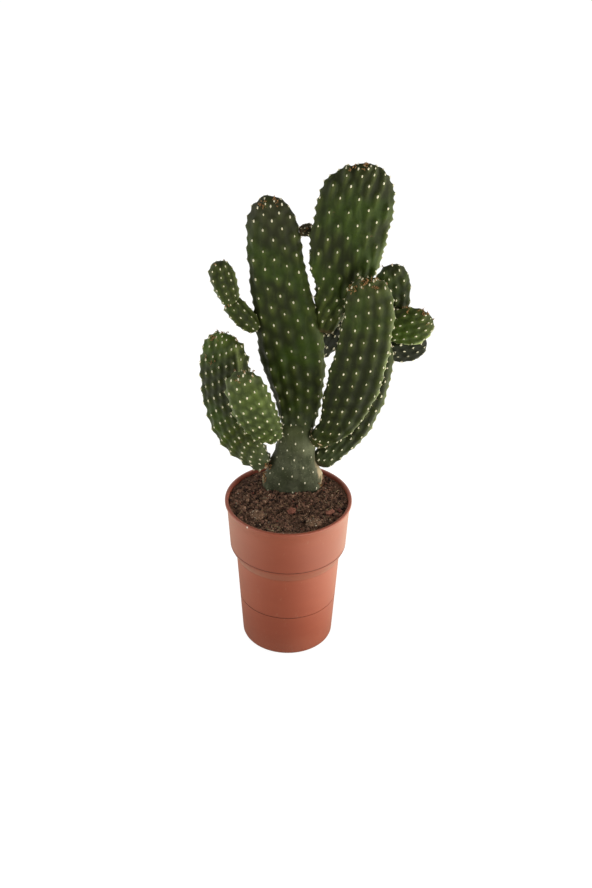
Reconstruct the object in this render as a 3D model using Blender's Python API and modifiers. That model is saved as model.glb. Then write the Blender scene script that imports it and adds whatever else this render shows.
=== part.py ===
"""Potted paddle cactus: a branching plant of flat pads, rooted in soil in a thin plastic nursery pot.

The frame has +Z up. The origin is on the pot's axis, at the face that the pot stands on, and +Y points
to the plant's back. Lengths below are in millimetres and are turned into metres as meshes are made.
"""
import math

import bmesh
import bpy
import numpy as np
from mathutils import Vector

MM = 0.001
GAP = 0.3            # room kept between pieces that touch
CUT_GROWTH = 0.38    # how far a cutter stands proud of its piece, so that a flat facet still leaves the gap
FACET_ROOM = 0.1     # extra room between two turned pieces, for the flats of their facets
SHARP_ANGLE = 40.0   # degrees between faces past which an edge is shaded sharp
MERGE_DISTANCE = 0.05

# Pot: a trade size of 120 mm across the lip
LIP_RADIUS = 60.0
POT_HEIGHT = 155.0
LIP_HEIGHT = 3.0
LIP_ROUND = 0.8      # how much the lip's top corners are eased
LIP_STEP = 0.6       # how far the lip's underside slopes down to the band
BAND_TOP_RADIUS = 58.2
BAND_FOOT_RADIUS = 55.2
BAND_FOOT_HEIGHT = 105.5
BODY_TOP_RADIUS = 49.4
BODY_TOP_HEIGHT = 94.0
STEP_CURVE = 1.1    # 1 is a straight slope from the band in to the body, more is rounder at the top
STEP_CORNERS = 6
GROOVE_HEIGHT = 47.0
GROOVE_RADIUS = 46.3
GROOVE_DEPTH = 0.5
GROOVE_SLOPE = 0.8
BODY_FOOT_RADIUS = 43.4
BASE_CORNER = 4.0
WALL = 1.3
FLOOR = 1.8
POT_SEGMENTS = 48

# Drainage holes in the pot's floor
DRAIN_COUNT = 6
DRAIN_RADIUS = 3.5
DRAIN_CIRCLE_RADIUS = 26.0
DRAIN_SEGMENTS = 16

# Soil: a little lower than the lip, and very slightly crowned
SOIL_EDGE_HEIGHT = 152.0
SOIL_CROWN = 0.4
SOIL_RINGS = 4

# Pads
PAD_SEGMENTS = 20    # corners round a pad's section
PAD_RINGS = 13       # steps from a pad's foot to its tip
SECTION_POWER = 2.6  # 2 is an ellipse, more is squarer at the margins
TANGENT_STEP = 0.001 # share of the length over which a midline's direction is read

# Each pad: the pads that it grows from or must clear, its midline from foot to tip, half widths and half
# thicknesses as (fraction of the length, size), the turn of its face about Z at foot and tip (0 faces -Y,
# positive towards +X), and the lengths of its rounded foot and rounded tip.
PADS = {
    "stem_base": {
        "clear_of": (),
        "midline": ((1, 26, 112), (3, 26, 146), (4.5, 25, 176), (7, 24, 202), (7.5, 24, 220)),
        "half_width": ((0, 24), (0.25, 27), (0.52, 26.3), (0.7, 20), (0.85, 17.4), (1, 15.6)),
        "half_depth": ((0, 15), (0.5, 14), (0.8, 12), (1, 11)),
        "turn": (4, -8),
        "round_off": (14, 8),
    },
    "main_pad": {
        "clear_of": ("stem_base",),
        "midline": ((7.5, 24, 214), (8, 24, 249), (2, 22, 303), (-12, 20, 386), (-18, 18, 458)),
        "half_width": ((0, 14), (0.12, 20.5), (0.35, 30), (0.6, 27), (0.8, 24.5), (1, 23)),
        "half_depth": ((0, 9), (0.3, 10.5), (0.8, 8.5), (1, 7.5)),
        "turn": (-8, -14),
        "round_off": (8, 36),
    },
    "upper_right_pad": {
        "clear_of": ("main_pad",),
        "midline": ((30, 20, 324), (36, 18, 347), (45, 15, 377), (49, 12, 413), (54, 10, 445), (64, 8, 495)),
        "half_width": ((0, 9), (0.14, 14), (0.27, 21.5), (0.4, 29), (0.56, 32.5), (0.78, 32), (1, 31)),
        "half_depth": ((0, 7), (0.4, 9), (0.8, 8), (1, 7)),
        "turn": (0, 0),
        "round_off": (8, 36),
    },
    "front_right_pad": {
        "clear_of": ("stem_base", "main_pad"),
        "midline": ((23, 14, 208), (42, 6, 233), (54, -2, 270), (64, -9, 317), (69, -12, 354),
                    (69, -14, 397)),
        "half_width": ((0, 7), (0.15, 14), (0.3, 21), (0.45, 23.5), (0.6, 23), (0.8, 21.5), (1, 20)),
        "half_depth": ((0, 6), (0.4, 8.5), (0.8, 8), (1, 7)),
        "turn": (-8, -8),
        "round_off": (8, 26),
    },
    "rear_right_pad": {
        "clear_of": ("stem_base",),
        "midline": ((27, 25, 177), (43, 29, 195), (58, 33, 220), (69, 38, 248), (75, 42, 277), (79, 46, 309)),
        "half_width": ((0, 8), (0.15, 13), (0.3, 17.5), (0.5, 20), (0.8, 20), (1, 18)),
        "half_depth": ((0, 6), (0.4, 8.5), (0.8, 8), (1, 7)),
        "turn": (-10, -10),
        "round_off": (8, 24),
    },
    "outer_young_pad": {
        "clear_of": ("rear_right_pad",),
        "midline": ((87, 42, 312), (100, 38, 318), (115, 34, 325), (129, 32, 332)),
        "half_width": ((0, 10), (0.4, 18.5), (0.75, 18.5), (1, 16)),
        "half_depth": ((0, 6), (0.4, 7), (1, 6)),
        "turn": (0, 0),
        "round_off": (8, 22),
    },
    "under_young_pad": {
        "clear_of": ("rear_right_pad", "outer_young_pad"),
        "midline": ((88, 48, 289), (106, 53, 287), (127, 57, 294)),
        "half_width": ((0, 9), (0.5, 12), (1, 11)),
        "half_depth": ((0, 5.5), (0.4, 6.5), (1, 6)),
        "turn": (0, 0),
        "round_off": (8, 16),
    },
    "upper_young_pad": {
        "clear_of": ("rear_right_pad", "outer_young_pad"),
        "midline": ((88, 48, 305), (92, 51, 329), (93, 53, 355), (91, 53, 376)),
        "half_width": ((0, 8), (0.5, 16), (0.8, 15.5), (1, 14)),
        "half_depth": ((0, 6), (0.4, 7), (1, 6)),
        "turn": (10, 10),
        "round_off": (8, 20),
    },
    "back_pad": {
        "clear_of": ("main_pad",),
        "midline": ((22, 27, 296), (36, 46, 307), (50, 60, 330), (61, 68, 350)),
        "half_width": ((0, 8), (0.3, 15), (0.6, 18), (1, 16)),
        "half_depth": ((0, 6), (0.4, 8), (1, 7)),
        "turn": (10, 10),
        "round_off": (8, 22),
    },
    "left_arm_lower_pad": {
        "clear_of": ("main_pad",),
        "midline": ((-29, 22, 325), (-37, 21, 333), (-45, 20, 343), (-55, 20, 356)),
        "half_width": ((0, 7), (0.4, 9.5), (0.8, 9), (1, 8)),
        "half_depth": ((0, 5.5), (0.4, 7), (1, 6)),
        "turn": (0, 0),
        "round_off": (8, 8),
    },
    "left_arm_upper_pad": {
        "clear_of": ("left_arm_lower_pad",),
        "midline": ((-52, 20, 351), (-57, 19, 368), (-61, 18, 382), (-62, 17, 395)),
        "half_width": ((0, 6.5), (0.4, 10), (0.7, 11), (1, 10)),
        "half_depth": ((0, 5), (0.4, 7), (1, 6)),
        "turn": (0, 0),
        "round_off": (6, 12),
    },
    "lower_left_pad": {
        "clear_of": ("stem_base",),
        "midline": ((-21, 24, 176), (-35, 22, 191), (-48, 20, 215), (-56, 18, 248), (-59, 17, 284),
                    (-57, 16, 322)),
        "half_width": ((0, 8), (0.16, 16), (0.32, 22.5), (0.55, 25.5), (0.8, 25), (1, 21)),
        "half_depth": ((0, 7), (0.4, 9.5), (0.8, 9), (1, 7)),
        "turn": (-20, -32),
        "round_off": (8, 22),
    },
    "front_left_pad": {
        "clear_of": ("stem_base", "main_pad"),
        "midline": ((-13, 12, 214), (-24, -5, 238), (-33, -17, 266), (-38, -22, 285), (-41, -25, 307)),
        "half_width": ((0, 7), (0.25, 16), (0.5, 19), (0.75, 18.5), (1, 17)),
        "half_depth": ((0, 6), (0.4, 8), (1, 7)),
        "turn": (-5, -10),
        "round_off": (8, 18),
    },
    "bud": {
        "clear_of": ("main_pad",),
        "midline": ((7, 21, 424), (14, 21, 425), (21, 21, 427)),
        "half_width": ((0, 4), (0.6, 5.5), (1, 5)),
        "half_depth": ((0, 4), (0.6, 5), (1, 5)),
        "turn": (0, 0),
        "round_off": (3, 6),
    },
}
OLD_SEGMENTS = ("stem_base",)
YOUNG_SEGMENTS = ("front_left_pad", "outer_young_pad", "upper_young_pad", "left_arm_upper_pad", "bud")

# Bark chips lying on the soil: name, place (x, y), length, width, thickness, turn about Z in degrees
BARK_CHIPS = (
    ("bark_chip_front", (3, -20), 8, 6, 2.4, 60),
    ("bark_chip_right", (39.5, -21.5), 8, 5, 2.4, 25),
    ("bark_chip_far_right", (48, -18), 5, 3.5, 2, 110),
    ("bark_chip_left", (-29, -28), 12, 9, 3.2, -35),
    ("bark_chip_lump", (24, -40), 12, 9, 3.8, 10),
)
CHIP_BEVEL = 0.8

COLOURS = {
    "pot_plastic": ((0.50, 0.13, 0.055), 0.42),
    "potting_soil": ((0.045, 0.022, 0.014), 0.95),
    "bark": ((0.12, 0.045, 0.025), 0.9),
    "old_skin": ((0.07, 0.10, 0.05), 0.6),
    "pad_skin": ((0.03, 0.065, 0.015), 0.5),
    "young_skin": ((0.055, 0.11, 0.02), 0.5),
}


def clear_scene():
    """Remove every object that is there at the start."""
    for thing in list(bpy.data.objects):
        bpy.data.objects.remove(thing, do_unlink=True)


def new_collection(name):
    """A collection linked to the scene."""
    collection = bpy.data.collections.new(name)
    bpy.context.scene.collection.children.link(collection)
    return collection


def make_materials():
    """One Principled material for each finish."""
    materials = {}
    for name, (colour, roughness) in COLOURS.items():
        material = bpy.data.materials.new(name)
        material.use_nodes = True
        shader = material.node_tree.nodes["Principled BSDF"]
        shader.inputs["Base Color"].default_value = (*colour, 1)
        shader.inputs["Roughness"].default_value = roughness
        shader.inputs["Metallic"].default_value = 0.0
        materials[name] = material
    return materials


def add_object(name, mesh, collection, material=None):
    """Link a mesh as a named object, shaded smooth but for its sharp corners."""
    if material:
        mesh.materials.append(material)
    mesh.shade_smooth()
    mesh.set_sharp_from_angle(angle=math.radians(SHARP_ANGLE))
    thing = bpy.data.objects.new(name, mesh)
    collection.objects.link(thing)
    return thing


def as_cutter(thing):
    """Mark an object as a tool, which is neither rendered nor built."""
    thing.hide_render = True
    thing.display_type = "WIRE"
    return thing


def cut(thing, cutter):
    """Subtract a cutter from an object."""
    boolean = thing.modifiers.new("cut_" + cutter.name, "BOOLEAN")
    boolean.operation = "DIFFERENCE"
    boolean.solver = "EXACT"
    boolean.object = cutter


def smooth_read(positions, values, where):
    """Read a smooth cubic curve through the values at rising positions."""
    positions = np.asarray(positions, float)
    values = np.asarray(values, float)
    slopes = np.gradient(values, positions, axis=0)
    span = int(np.clip(np.searchsorted(positions, where) - 1, 0, len(positions) - 2))
    length = positions[span + 1] - positions[span]
    s = (where - positions[span]) / length
    return ((2 * s**3 - 3 * s**2 + 1) * values[span] + (s**3 - 2 * s**2 + s) * length * slopes[span]
            + (3 * s**2 - 2 * s**3) * values[span + 1] + (s**3 - s**2) * length * slopes[span + 1])


def read_profile(profile, where):
    """Read a size from a profile of (fraction, size) steps."""
    return float(smooth_read([step[0] for step in profile], [step[1] for step in profile], where))


def midline_fractions(points):
    """How far along the midline each of its points lies, from 0 to 1."""
    steps = np.linalg.norm(np.diff(np.asarray(points, float), axis=0), axis=1)
    distance = np.concatenate(([0.0], np.cumsum(steps)))
    return distance / distance[-1], distance[-1]


def end_rounding(distance, length, round_off):
    """The share of its full size that a pad has at a distance from its foot."""
    foot = min(distance / round_off[0], 1.0)
    tip = min((length - distance) / round_off[1], 1.0)
    return math.sqrt(max(0.0, 1 - (1 - foot) ** 2)) * math.sqrt(max(0.0, 1 - (1 - tip) ** 2))


def pad_section(pad, where):
    """The section at a fraction of the length: centre, width axis, face axis, half width, half depth."""
    fractions, length = midline_fractions(pad["midline"])
    points = np.asarray(pad["midline"], float)
    ahead = smooth_read(fractions, points, min(where + TANGENT_STEP, 1.0))
    behind = smooth_read(fractions, points, max(where - TANGENT_STEP, 0.0))
    along = Vector(ahead - behind).normalized()
    turn = math.radians(pad["turn"][0] + (pad["turn"][1] - pad["turn"][0]) * where)
    facing = Vector((math.sin(turn), -math.cos(turn), 0))
    facing = (facing - facing.dot(along) * along).normalized()
    size = end_rounding(where * length, length, pad["round_off"])
    return (Vector(smooth_read(fractions, points, where)), facing.cross(along), facing,
            read_profile(pad["half_width"], where) * size, read_profile(pad["half_depth"], where) * size)


def squared(value):
    """Turn a sine or cosine into its superellipse share."""
    return math.copysign(abs(value) ** (2 / SECTION_POWER), value)


def pad_mesh(name, pad, growth=0.0):
    """A pad as a ball drawn out along its midline, grown evenly for a cutter."""
    bm = bmesh.new()
    bmesh.ops.create_uvsphere(bm, u_segments=PAD_SEGMENTS, v_segments=PAD_RINGS, radius=1)
    for vertex in bm.verts:
        where = (1 + max(-1.0, min(1.0, vertex.co.z))) / 2
        angle = math.atan2(vertex.co.y, vertex.co.x)
        centre, across, facing, half_width, half_depth = pad_section(pad, where)
        vertex.co = (centre + across * (half_width * squared(math.cos(angle)))
                     + facing * (half_depth * squared(math.sin(angle)))) * MM
    bmesh.ops.recalc_face_normals(bm, faces=bm.faces)
    if growth:
        bm.normal_update()
        grown = [vertex.co + vertex.normal * growth * MM for vertex in bm.verts]
        for vertex, place in zip(bm.verts, grown):
            vertex.co = place
    mesh = bpy.data.meshes.new(name)
    bm.to_mesh(mesh)
    bm.free()
    return mesh


def turned(name, profile, collection, material):
    """A solid of revolution from a profile of (radius, height) that starts and ends on the axis."""
    mesh = bpy.data.meshes.new(name)
    corners = [(radius * MM, 0, height * MM) for radius, height in profile]
    mesh.from_pydata(corners, [(i, i + 1) for i in range(len(corners) - 1)], [])
    thing = bpy.data.objects.new(name, mesh)
    mesh.materials.append(material)
    collection.objects.link(thing)
    screw = thing.modifiers.new("turn", "SCREW")
    screw.steps = screw.render_steps = POT_SEGMENTS
    screw.use_merge_vertices = True
    screw.merge_threshold = MERGE_DISTANCE * MM
    screw.use_smooth_shade = True
    return thing


def pot_outer_wall():
    """The pot's outside from the lip's top down to its base, as (radius, height)."""
    wall = [(LIP_RADIUS - LIP_ROUND, POT_HEIGHT), (LIP_RADIUS, POT_HEIGHT - LIP_ROUND),
            (LIP_RADIUS, POT_HEIGHT - LIP_HEIGHT), (BAND_TOP_RADIUS, POT_HEIGHT - LIP_HEIGHT - LIP_STEP)]
    for step in range(STEP_CORNERS + 1):
        share = step / STEP_CORNERS
        wall.append((BAND_FOOT_RADIUS + (BODY_TOP_RADIUS - BAND_FOOT_RADIUS) * share**STEP_CURVE,
                     BAND_FOOT_HEIGHT + (BODY_TOP_HEIGHT - BAND_FOOT_HEIGHT) * share))
    wall += [(GROOVE_RADIUS + GROOVE_DEPTH, GROOVE_HEIGHT + GROOVE_SLOPE), (GROOVE_RADIUS, GROOVE_HEIGHT),
             (BODY_FOOT_RADIUS, BASE_CORNER)]
    for degrees in (30, 60, 90):
        angle = math.radians(degrees)
        wall.append((BODY_FOOT_RADIUS - BASE_CORNER * (1 - math.cos(angle)),
                     BASE_CORNER * (1 - math.sin(angle))))
    return wall


def pot_inner_radius(height):
    """The radius of the pot's inside at a height between its floor and its lip."""
    steps = [(BODY_FOOT_RADIUS - BASE_CORNER / 4, FLOOR), (BODY_FOOT_RADIUS, FLOOR + BASE_CORNER),
             (GROOVE_RADIUS, GROOVE_HEIGHT), (BODY_TOP_RADIUS, BODY_TOP_HEIGHT),
             (BAND_FOOT_RADIUS, BAND_FOOT_HEIGHT + 2), (BAND_TOP_RADIUS, POT_HEIGHT)]
    return float(np.interp(height, [s[1] for s in steps], [s[0] for s in steps])) - WALL


def inner_wall_heights():
    """Heights at which the pot's inside and the soil's side have their corners, from the floor up."""
    return [FLOOR, FLOOR + BASE_CORNER, GROOVE_HEIGHT, BODY_TOP_HEIGHT, BAND_FOOT_HEIGHT + 2]


def build_pot(collection, cutters, material):
    """The pot: one thin shell, turned, with drainage holes through its floor."""
    inside = [(0, FLOOR)] + [(pot_inner_radius(height), height) for height in inner_wall_heights()]
    inside.append((pot_inner_radius(POT_HEIGHT), POT_HEIGHT - LIP_ROUND))
    inside.append((pot_inner_radius(POT_HEIGHT) + LIP_ROUND, POT_HEIGHT))
    pot = turned("pot", inside + pot_outer_wall() + [(0, 0)], collection, material)
    bm = bmesh.new()
    for index in range(DRAIN_COUNT):
        angle = 2 * math.pi * index / DRAIN_COUNT
        made = bmesh.ops.create_cone(bm, cap_ends=True, segments=DRAIN_SEGMENTS, radius1=DRAIN_RADIUS * MM,
                                     radius2=DRAIN_RADIUS * MM, depth=4 * FLOOR * MM)
        offset = Vector((math.cos(angle), math.sin(angle), 0)) * DRAIN_CIRCLE_RADIUS * MM
        bmesh.ops.translate(bm, verts=made["verts"], vec=offset)
    mesh = bpy.data.meshes.new("drain_cutter")
    bm.to_mesh(mesh)
    bm.free()
    cut(pot, as_cutter(add_object("drain_cutter", mesh, cutters)))
    return pot


def soil_height(radius):
    """The height of the soil's surface at a distance from the pot's axis."""
    edge = pot_inner_radius(SOIL_EDGE_HEIGHT) - GAP
    return SOIL_EDGE_HEIGHT + SOIL_CROWN * (1 - (radius / edge) ** 2)


def build_soil(collection, material, stem_cutter):
    """The soil: fills the pot, with a pocket for the buried foot of the stem."""
    room = GAP + FACET_ROOM
    edge = pot_inner_radius(SOIL_EDGE_HEIGHT) - room
    radii = [edge * ring / SOIL_RINGS for ring in range(SOIL_RINGS + 1)]
    top = [(radius, soil_height(radius)) for radius in radii]
    side = [(pot_inner_radius(height) - room, height) for height in reversed(inner_wall_heights()[1:])]
    foot = [(pot_inner_radius(FLOOR) - 2 * GAP, FLOOR + GAP), (0, FLOOR + GAP)]
    soil = turned("soil", top + side + foot, collection, material)
    cut(soil, stem_cutter)
    return soil


def build_chip(name, place, length, width, thickness, turn, collection, material):
    """One chip of bark: a flat block with worn corners, lying on the soil."""
    bm = bmesh.new()
    bmesh.ops.create_cube(bm, size=1)
    bmesh.ops.scale(bm, verts=bm.verts, vec=(length * MM, width * MM, thickness * MM))
    bmesh.ops.bevel(bm, geom=bm.edges[:], offset=CHIP_BEVEL * MM, offset_type="OFFSET", affect="EDGES",
                    segments=1, profile=0.5, material=-1)
    mesh = bpy.data.meshes.new(name)
    bm.to_mesh(mesh)
    bm.free()
    chip = add_object(name, mesh, collection, material)
    reach = math.hypot(*place) - length / 2
    chip.location = (place[0] * MM, place[1] * MM, (soil_height(max(reach, 0)) + GAP + thickness / 2) * MM)
    chip.rotation_euler = (0, 0, math.radians(turn))
    return chip


def skin_of(name):
    """The finish of a plant segment, by its age."""
    if name in OLD_SEGMENTS:
        return "old_skin"
    return "young_skin" if name in YOUNG_SEGMENTS else "pad_skin"


def build_plant(collection, cutters, materials):
    """Every segment of the plant, each cut clear of the ones it grows from. Returns the cutters."""
    tools = {}
    needed = {"stem_base"}.union(*(pad["clear_of"] for pad in PADS.values()))
    for name in PADS:
        if name in needed:
            mesh = pad_mesh("cutter_" + name, PADS[name], CUT_GROWTH)
            tools[name] = as_cutter(add_object("cutter_" + name, mesh, cutters))
    for name, pad in PADS.items():
        segment = add_object(name, pad_mesh(name, pad), collection, materials[skin_of(name)])
        for parent in pad["clear_of"]:
            cut(segment, tools[parent])
    return tools


def main():
    """Build the potted cactus."""
    clear_scene()
    collection = new_collection("potted_paddle_cactus")
    cutters = new_collection("cutters")
    materials = make_materials()
    tools = build_plant(collection, cutters, materials)
    build_pot(collection, cutters, materials["pot_plastic"])
    build_soil(collection, materials["potting_soil"], tools["stem_base"])
    for chip in BARK_CHIPS:
        build_chip(*chip, collection, materials["bark"])


main()
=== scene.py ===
"""The looks of a potted paddle cactus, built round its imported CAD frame.

Every length in a class is in millimetres unless its docstring says metres, in the frame's own axes: the
origin is on the pot's axis at the face that it stands on, +Z is up and -Y is the side that the large pads
face. Finishes are in metres, because their patterns are read at the surface's own place.
"""

import logging
import math
from dataclasses import dataclass
from enum import Enum
from typing import Any, Iterable, Optional, Sequence

import bmesh
import bpy
import numpy as np
from mathutils import Matrix, Vector


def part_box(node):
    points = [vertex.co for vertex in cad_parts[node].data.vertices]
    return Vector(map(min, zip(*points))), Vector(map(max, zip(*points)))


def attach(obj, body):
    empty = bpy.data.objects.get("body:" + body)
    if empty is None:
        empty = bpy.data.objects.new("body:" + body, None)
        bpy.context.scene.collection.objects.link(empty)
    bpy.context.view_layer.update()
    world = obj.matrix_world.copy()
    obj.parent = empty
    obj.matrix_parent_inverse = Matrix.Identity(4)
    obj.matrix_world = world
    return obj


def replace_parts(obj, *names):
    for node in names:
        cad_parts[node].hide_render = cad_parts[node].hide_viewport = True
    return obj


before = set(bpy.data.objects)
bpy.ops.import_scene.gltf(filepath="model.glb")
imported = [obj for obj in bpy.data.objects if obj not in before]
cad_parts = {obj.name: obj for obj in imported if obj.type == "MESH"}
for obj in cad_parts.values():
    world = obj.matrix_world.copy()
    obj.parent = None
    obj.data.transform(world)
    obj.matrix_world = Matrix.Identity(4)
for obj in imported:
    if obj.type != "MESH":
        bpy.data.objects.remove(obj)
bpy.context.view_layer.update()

MM = 0.001
LOG = logging.getLogger("potted_cactus")

Colour = tuple[float, float, float]
Profile = tuple[tuple[float, float], ...]
Point = tuple[float, float, float]


class Age(Enum):
    """How old a segment of the plant is, which sets its skin."""

    OLD = "old"
    GROWN = "grown"
    YOUNG = "young"
    BUDDING = "budding"


# ----------------------------------------------------------------------------------------------------
# Shader maths
# ----------------------------------------------------------------------------------------------------


class Signal:
    """A number that varies over a surface: a node's output with Python's operators."""

    def __init__(self, graph: "Graph", socket: bpy.types.NodeSocket) -> None:
        """Wrap one output socket of a graph."""
        self.graph = graph
        self.socket = socket

    def _math(self, operation: str, first: Any, second: Any = None) -> "Signal":
        """Add one Math node.

        Args:
            operation: The Math node's operation.
            first: The first value or signal.
            second: The second value or signal, where the operation has one.

        Returns:
            The node's output.
        """
        values = {0: first} if second is None else {0: first, 1: second}
        return self.graph.node("ShaderNodeMath", {"operation": operation}, values)

    def __add__(self, other: Any) -> "Signal":
        """This plus another."""
        return self._math("ADD", self, other)

    def __radd__(self, other: Any) -> "Signal":
        """A number plus this."""
        return self._math("ADD", other, self)

    def __sub__(self, other: Any) -> "Signal":
        """This minus another."""
        return self._math("SUBTRACT", self, other)

    def __rsub__(self, other: Any) -> "Signal":
        """A number minus this."""
        return self._math("SUBTRACT", other, self)

    def __mul__(self, other: Any) -> "Signal":
        """This times another."""
        return self._math("MULTIPLY", self, other)

    def __rmul__(self, other: Any) -> "Signal":
        """A number times this."""
        return self._math("MULTIPLY", other, self)

    def __truediv__(self, other: Any) -> "Signal":
        """This divided by another."""
        return self._math("DIVIDE", self, other)

    def at_most(self, other: Any) -> "Signal":
        """The smaller of this and another."""
        return self._math("MINIMUM", self, other)

    def at_least(self, other: Any) -> "Signal":
        """The larger of this and another."""
        return self._math("MAXIMUM", self, other)

    def between(self, low: float, high: float) -> "Signal":
        """Rise smoothly from 0 at low to 1 at high."""
        values = {"Value": self, "From Min": low, "From Max": high}
        return self.graph.node("ShaderNodeMapRange", {"interpolation_type": "SMOOTHSTEP"}, values)


class Graph:
    """A node tree that is written as expressions."""

    def __init__(self, tree: bpy.types.NodeTree) -> None:
        """Take up a node tree."""
        self.tree = tree

    def feed(self, socket: bpy.types.NodeSocket, value: Any) -> None:
        """Give a socket a link or a constant.

        Args:
            socket: The input socket.
            value: A signal, a socket, a number, a colour or a vector.
        """
        if isinstance(value, Signal):
            self.tree.links.new(value.socket, socket)
        elif isinstance(value, bpy.types.NodeSocket):
            self.tree.links.new(value, socket)
        elif isinstance(value, tuple) and socket.type == "RGBA":
            socket.default_value = (*value[:3], 1.0)
        else:
            socket.default_value = value

    def node(self, kind: str, settings: Optional[dict[str, Any]] = None,
             inputs: Optional[dict[Any, Any]] = None, output: Any = 0) -> Signal:
        """Add any node.

        Args:
            kind: The node's type.
            settings: Its settings, set before its sockets.
            inputs: Values or links by socket name or number.
            output: The output to return, by name or number.

        Returns:
            The chosen output.
        """
        made = self.tree.nodes.new(kind)
        for key, value in (settings or {}).items():
            setattr(made, key, value)
        for key, value in (inputs or {}).items():
            self.feed(made.inputs[key], value)
        return Signal(self, made.outputs[output])

    def here(self) -> Signal:
        """The surface's own place in metres."""
        return self.node("ShaderNodeTexCoord", output="Object")

    def place(self, scale: Point = (1, 1, 1), turn: Point = (0, 0, 0)) -> Signal:
        """The surface's own place in metres, stretched or turned."""
        return self.node("ShaderNodeMapping", {}, {"Vector": self.here(), "Scale": scale, "Rotation": turn})

    def part(self, axis: str) -> Signal:
        """The surface's own place along one axis, in metres."""
        return self.node("ShaderNodeSeparateXYZ", {}, {"Vector": self.here()}, axis)

    def noise(self, scale: float, detail: float = 2.0, rough: float = 0.5,
              where: Optional[Signal] = None) -> Signal:
        """Soft noise of a number of features per metre.

        Args:
            scale: Features per metre.
            detail: How many finer layers it has.
            rough: How strong the finer layers are.
            where: The place to read it at, or the surface's own place.

        Returns:
            A signal from 0 to 1.
        """
        values = {"Vector": where or self.here(), "Scale": scale, "Detail": detail, "Roughness": rough}
        return self.node("ShaderNodeTexNoise", {}, values, "Fac")

    def cells(self, scale: float) -> Signal:
        """Distance from the nearest of scattered points."""
        return self.node("ShaderNodeTexVoronoi", {}, {"Vector": self.here(), "Scale": scale}, "Distance")

    def mark(self, name: str) -> Signal:
        """A number that the mesh carries at its points."""
        return self.node("ShaderNodeAttribute", {"attribute_name": name}, {}, "Fac")

    def tint(self, name: str) -> Signal:
        """A colour that the mesh carries at its points."""
        return self.node("ShaderNodeAttribute", {"attribute_name": name}, {}, "Color")

    def distance(self, point: Point) -> Signal:
        """How far the surface is from a point, in metres."""
        ends = {0: self.here(), 1: point}
        return self.node("ShaderNodeVectorMath", {"operation": "DISTANCE"}, ends, "Value")

    def mix(self, share: Any, first: Any, second: Any, blend: str = "MIX") -> Signal:
        """Mix two colours.

        Args:
            share: How much of the second there is.
            first: The first colour.
            second: The second colour.
            blend: The way of mixing.

        Returns:
            The mixed colour.
        """
        settings = {"data_type": "RGBA", "blend_type": blend}
        return self.node("ShaderNodeMix", settings, {0: share, 6: first, 7: second}, 2)

    def bump(self, height: Signal, strength: float, depth: float, below: Optional[Signal] = None) -> Signal:
        """Raise fine relief from a height signal.

        Args:
            height: The height from 0 to 1.
            strength: The relief's share.
            depth: The relief's depth in metres.
            below: A relief that this one lies on.

        Returns:
            The surface's normal.
        """
        values: dict[Any, Any] = {"Height": height, "Strength": strength, "Distance": depth}
        if below is not None:
            values["Normal"] = below
        return self.node("ShaderNodeBump", {}, values)


class Surface(Graph):
    """A material's node tree, with one Principled surface."""

    def __init__(self, name: str) -> None:
        """Start an empty material.

        Args:
            name: The material's name.
        """
        self.material = bpy.data.materials.new(name)
        self.material.use_nodes = True
        super().__init__(self.material.node_tree)
        self.tree.nodes.clear()
        output = self.tree.nodes.new("ShaderNodeOutputMaterial")
        self.shader = self.tree.nodes.new("ShaderNodeBsdfPrincipled")
        self.tree.links.new(self.shader.outputs["BSDF"], output.inputs["Surface"])

    def finish(self, **sockets: Any) -> bpy.types.Material:
        """Feed the Principled surface and return the material.

        Args:
            **sockets: Socket names with _ for a space.

        Returns:
            The finished material.
        """
        for name, value in sockets.items():
            self.feed(self.shader.inputs[name.replace("_", " ")], value)
        return self.material


# ----------------------------------------------------------------------------------------------------
# Finishes
# ----------------------------------------------------------------------------------------------------


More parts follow.
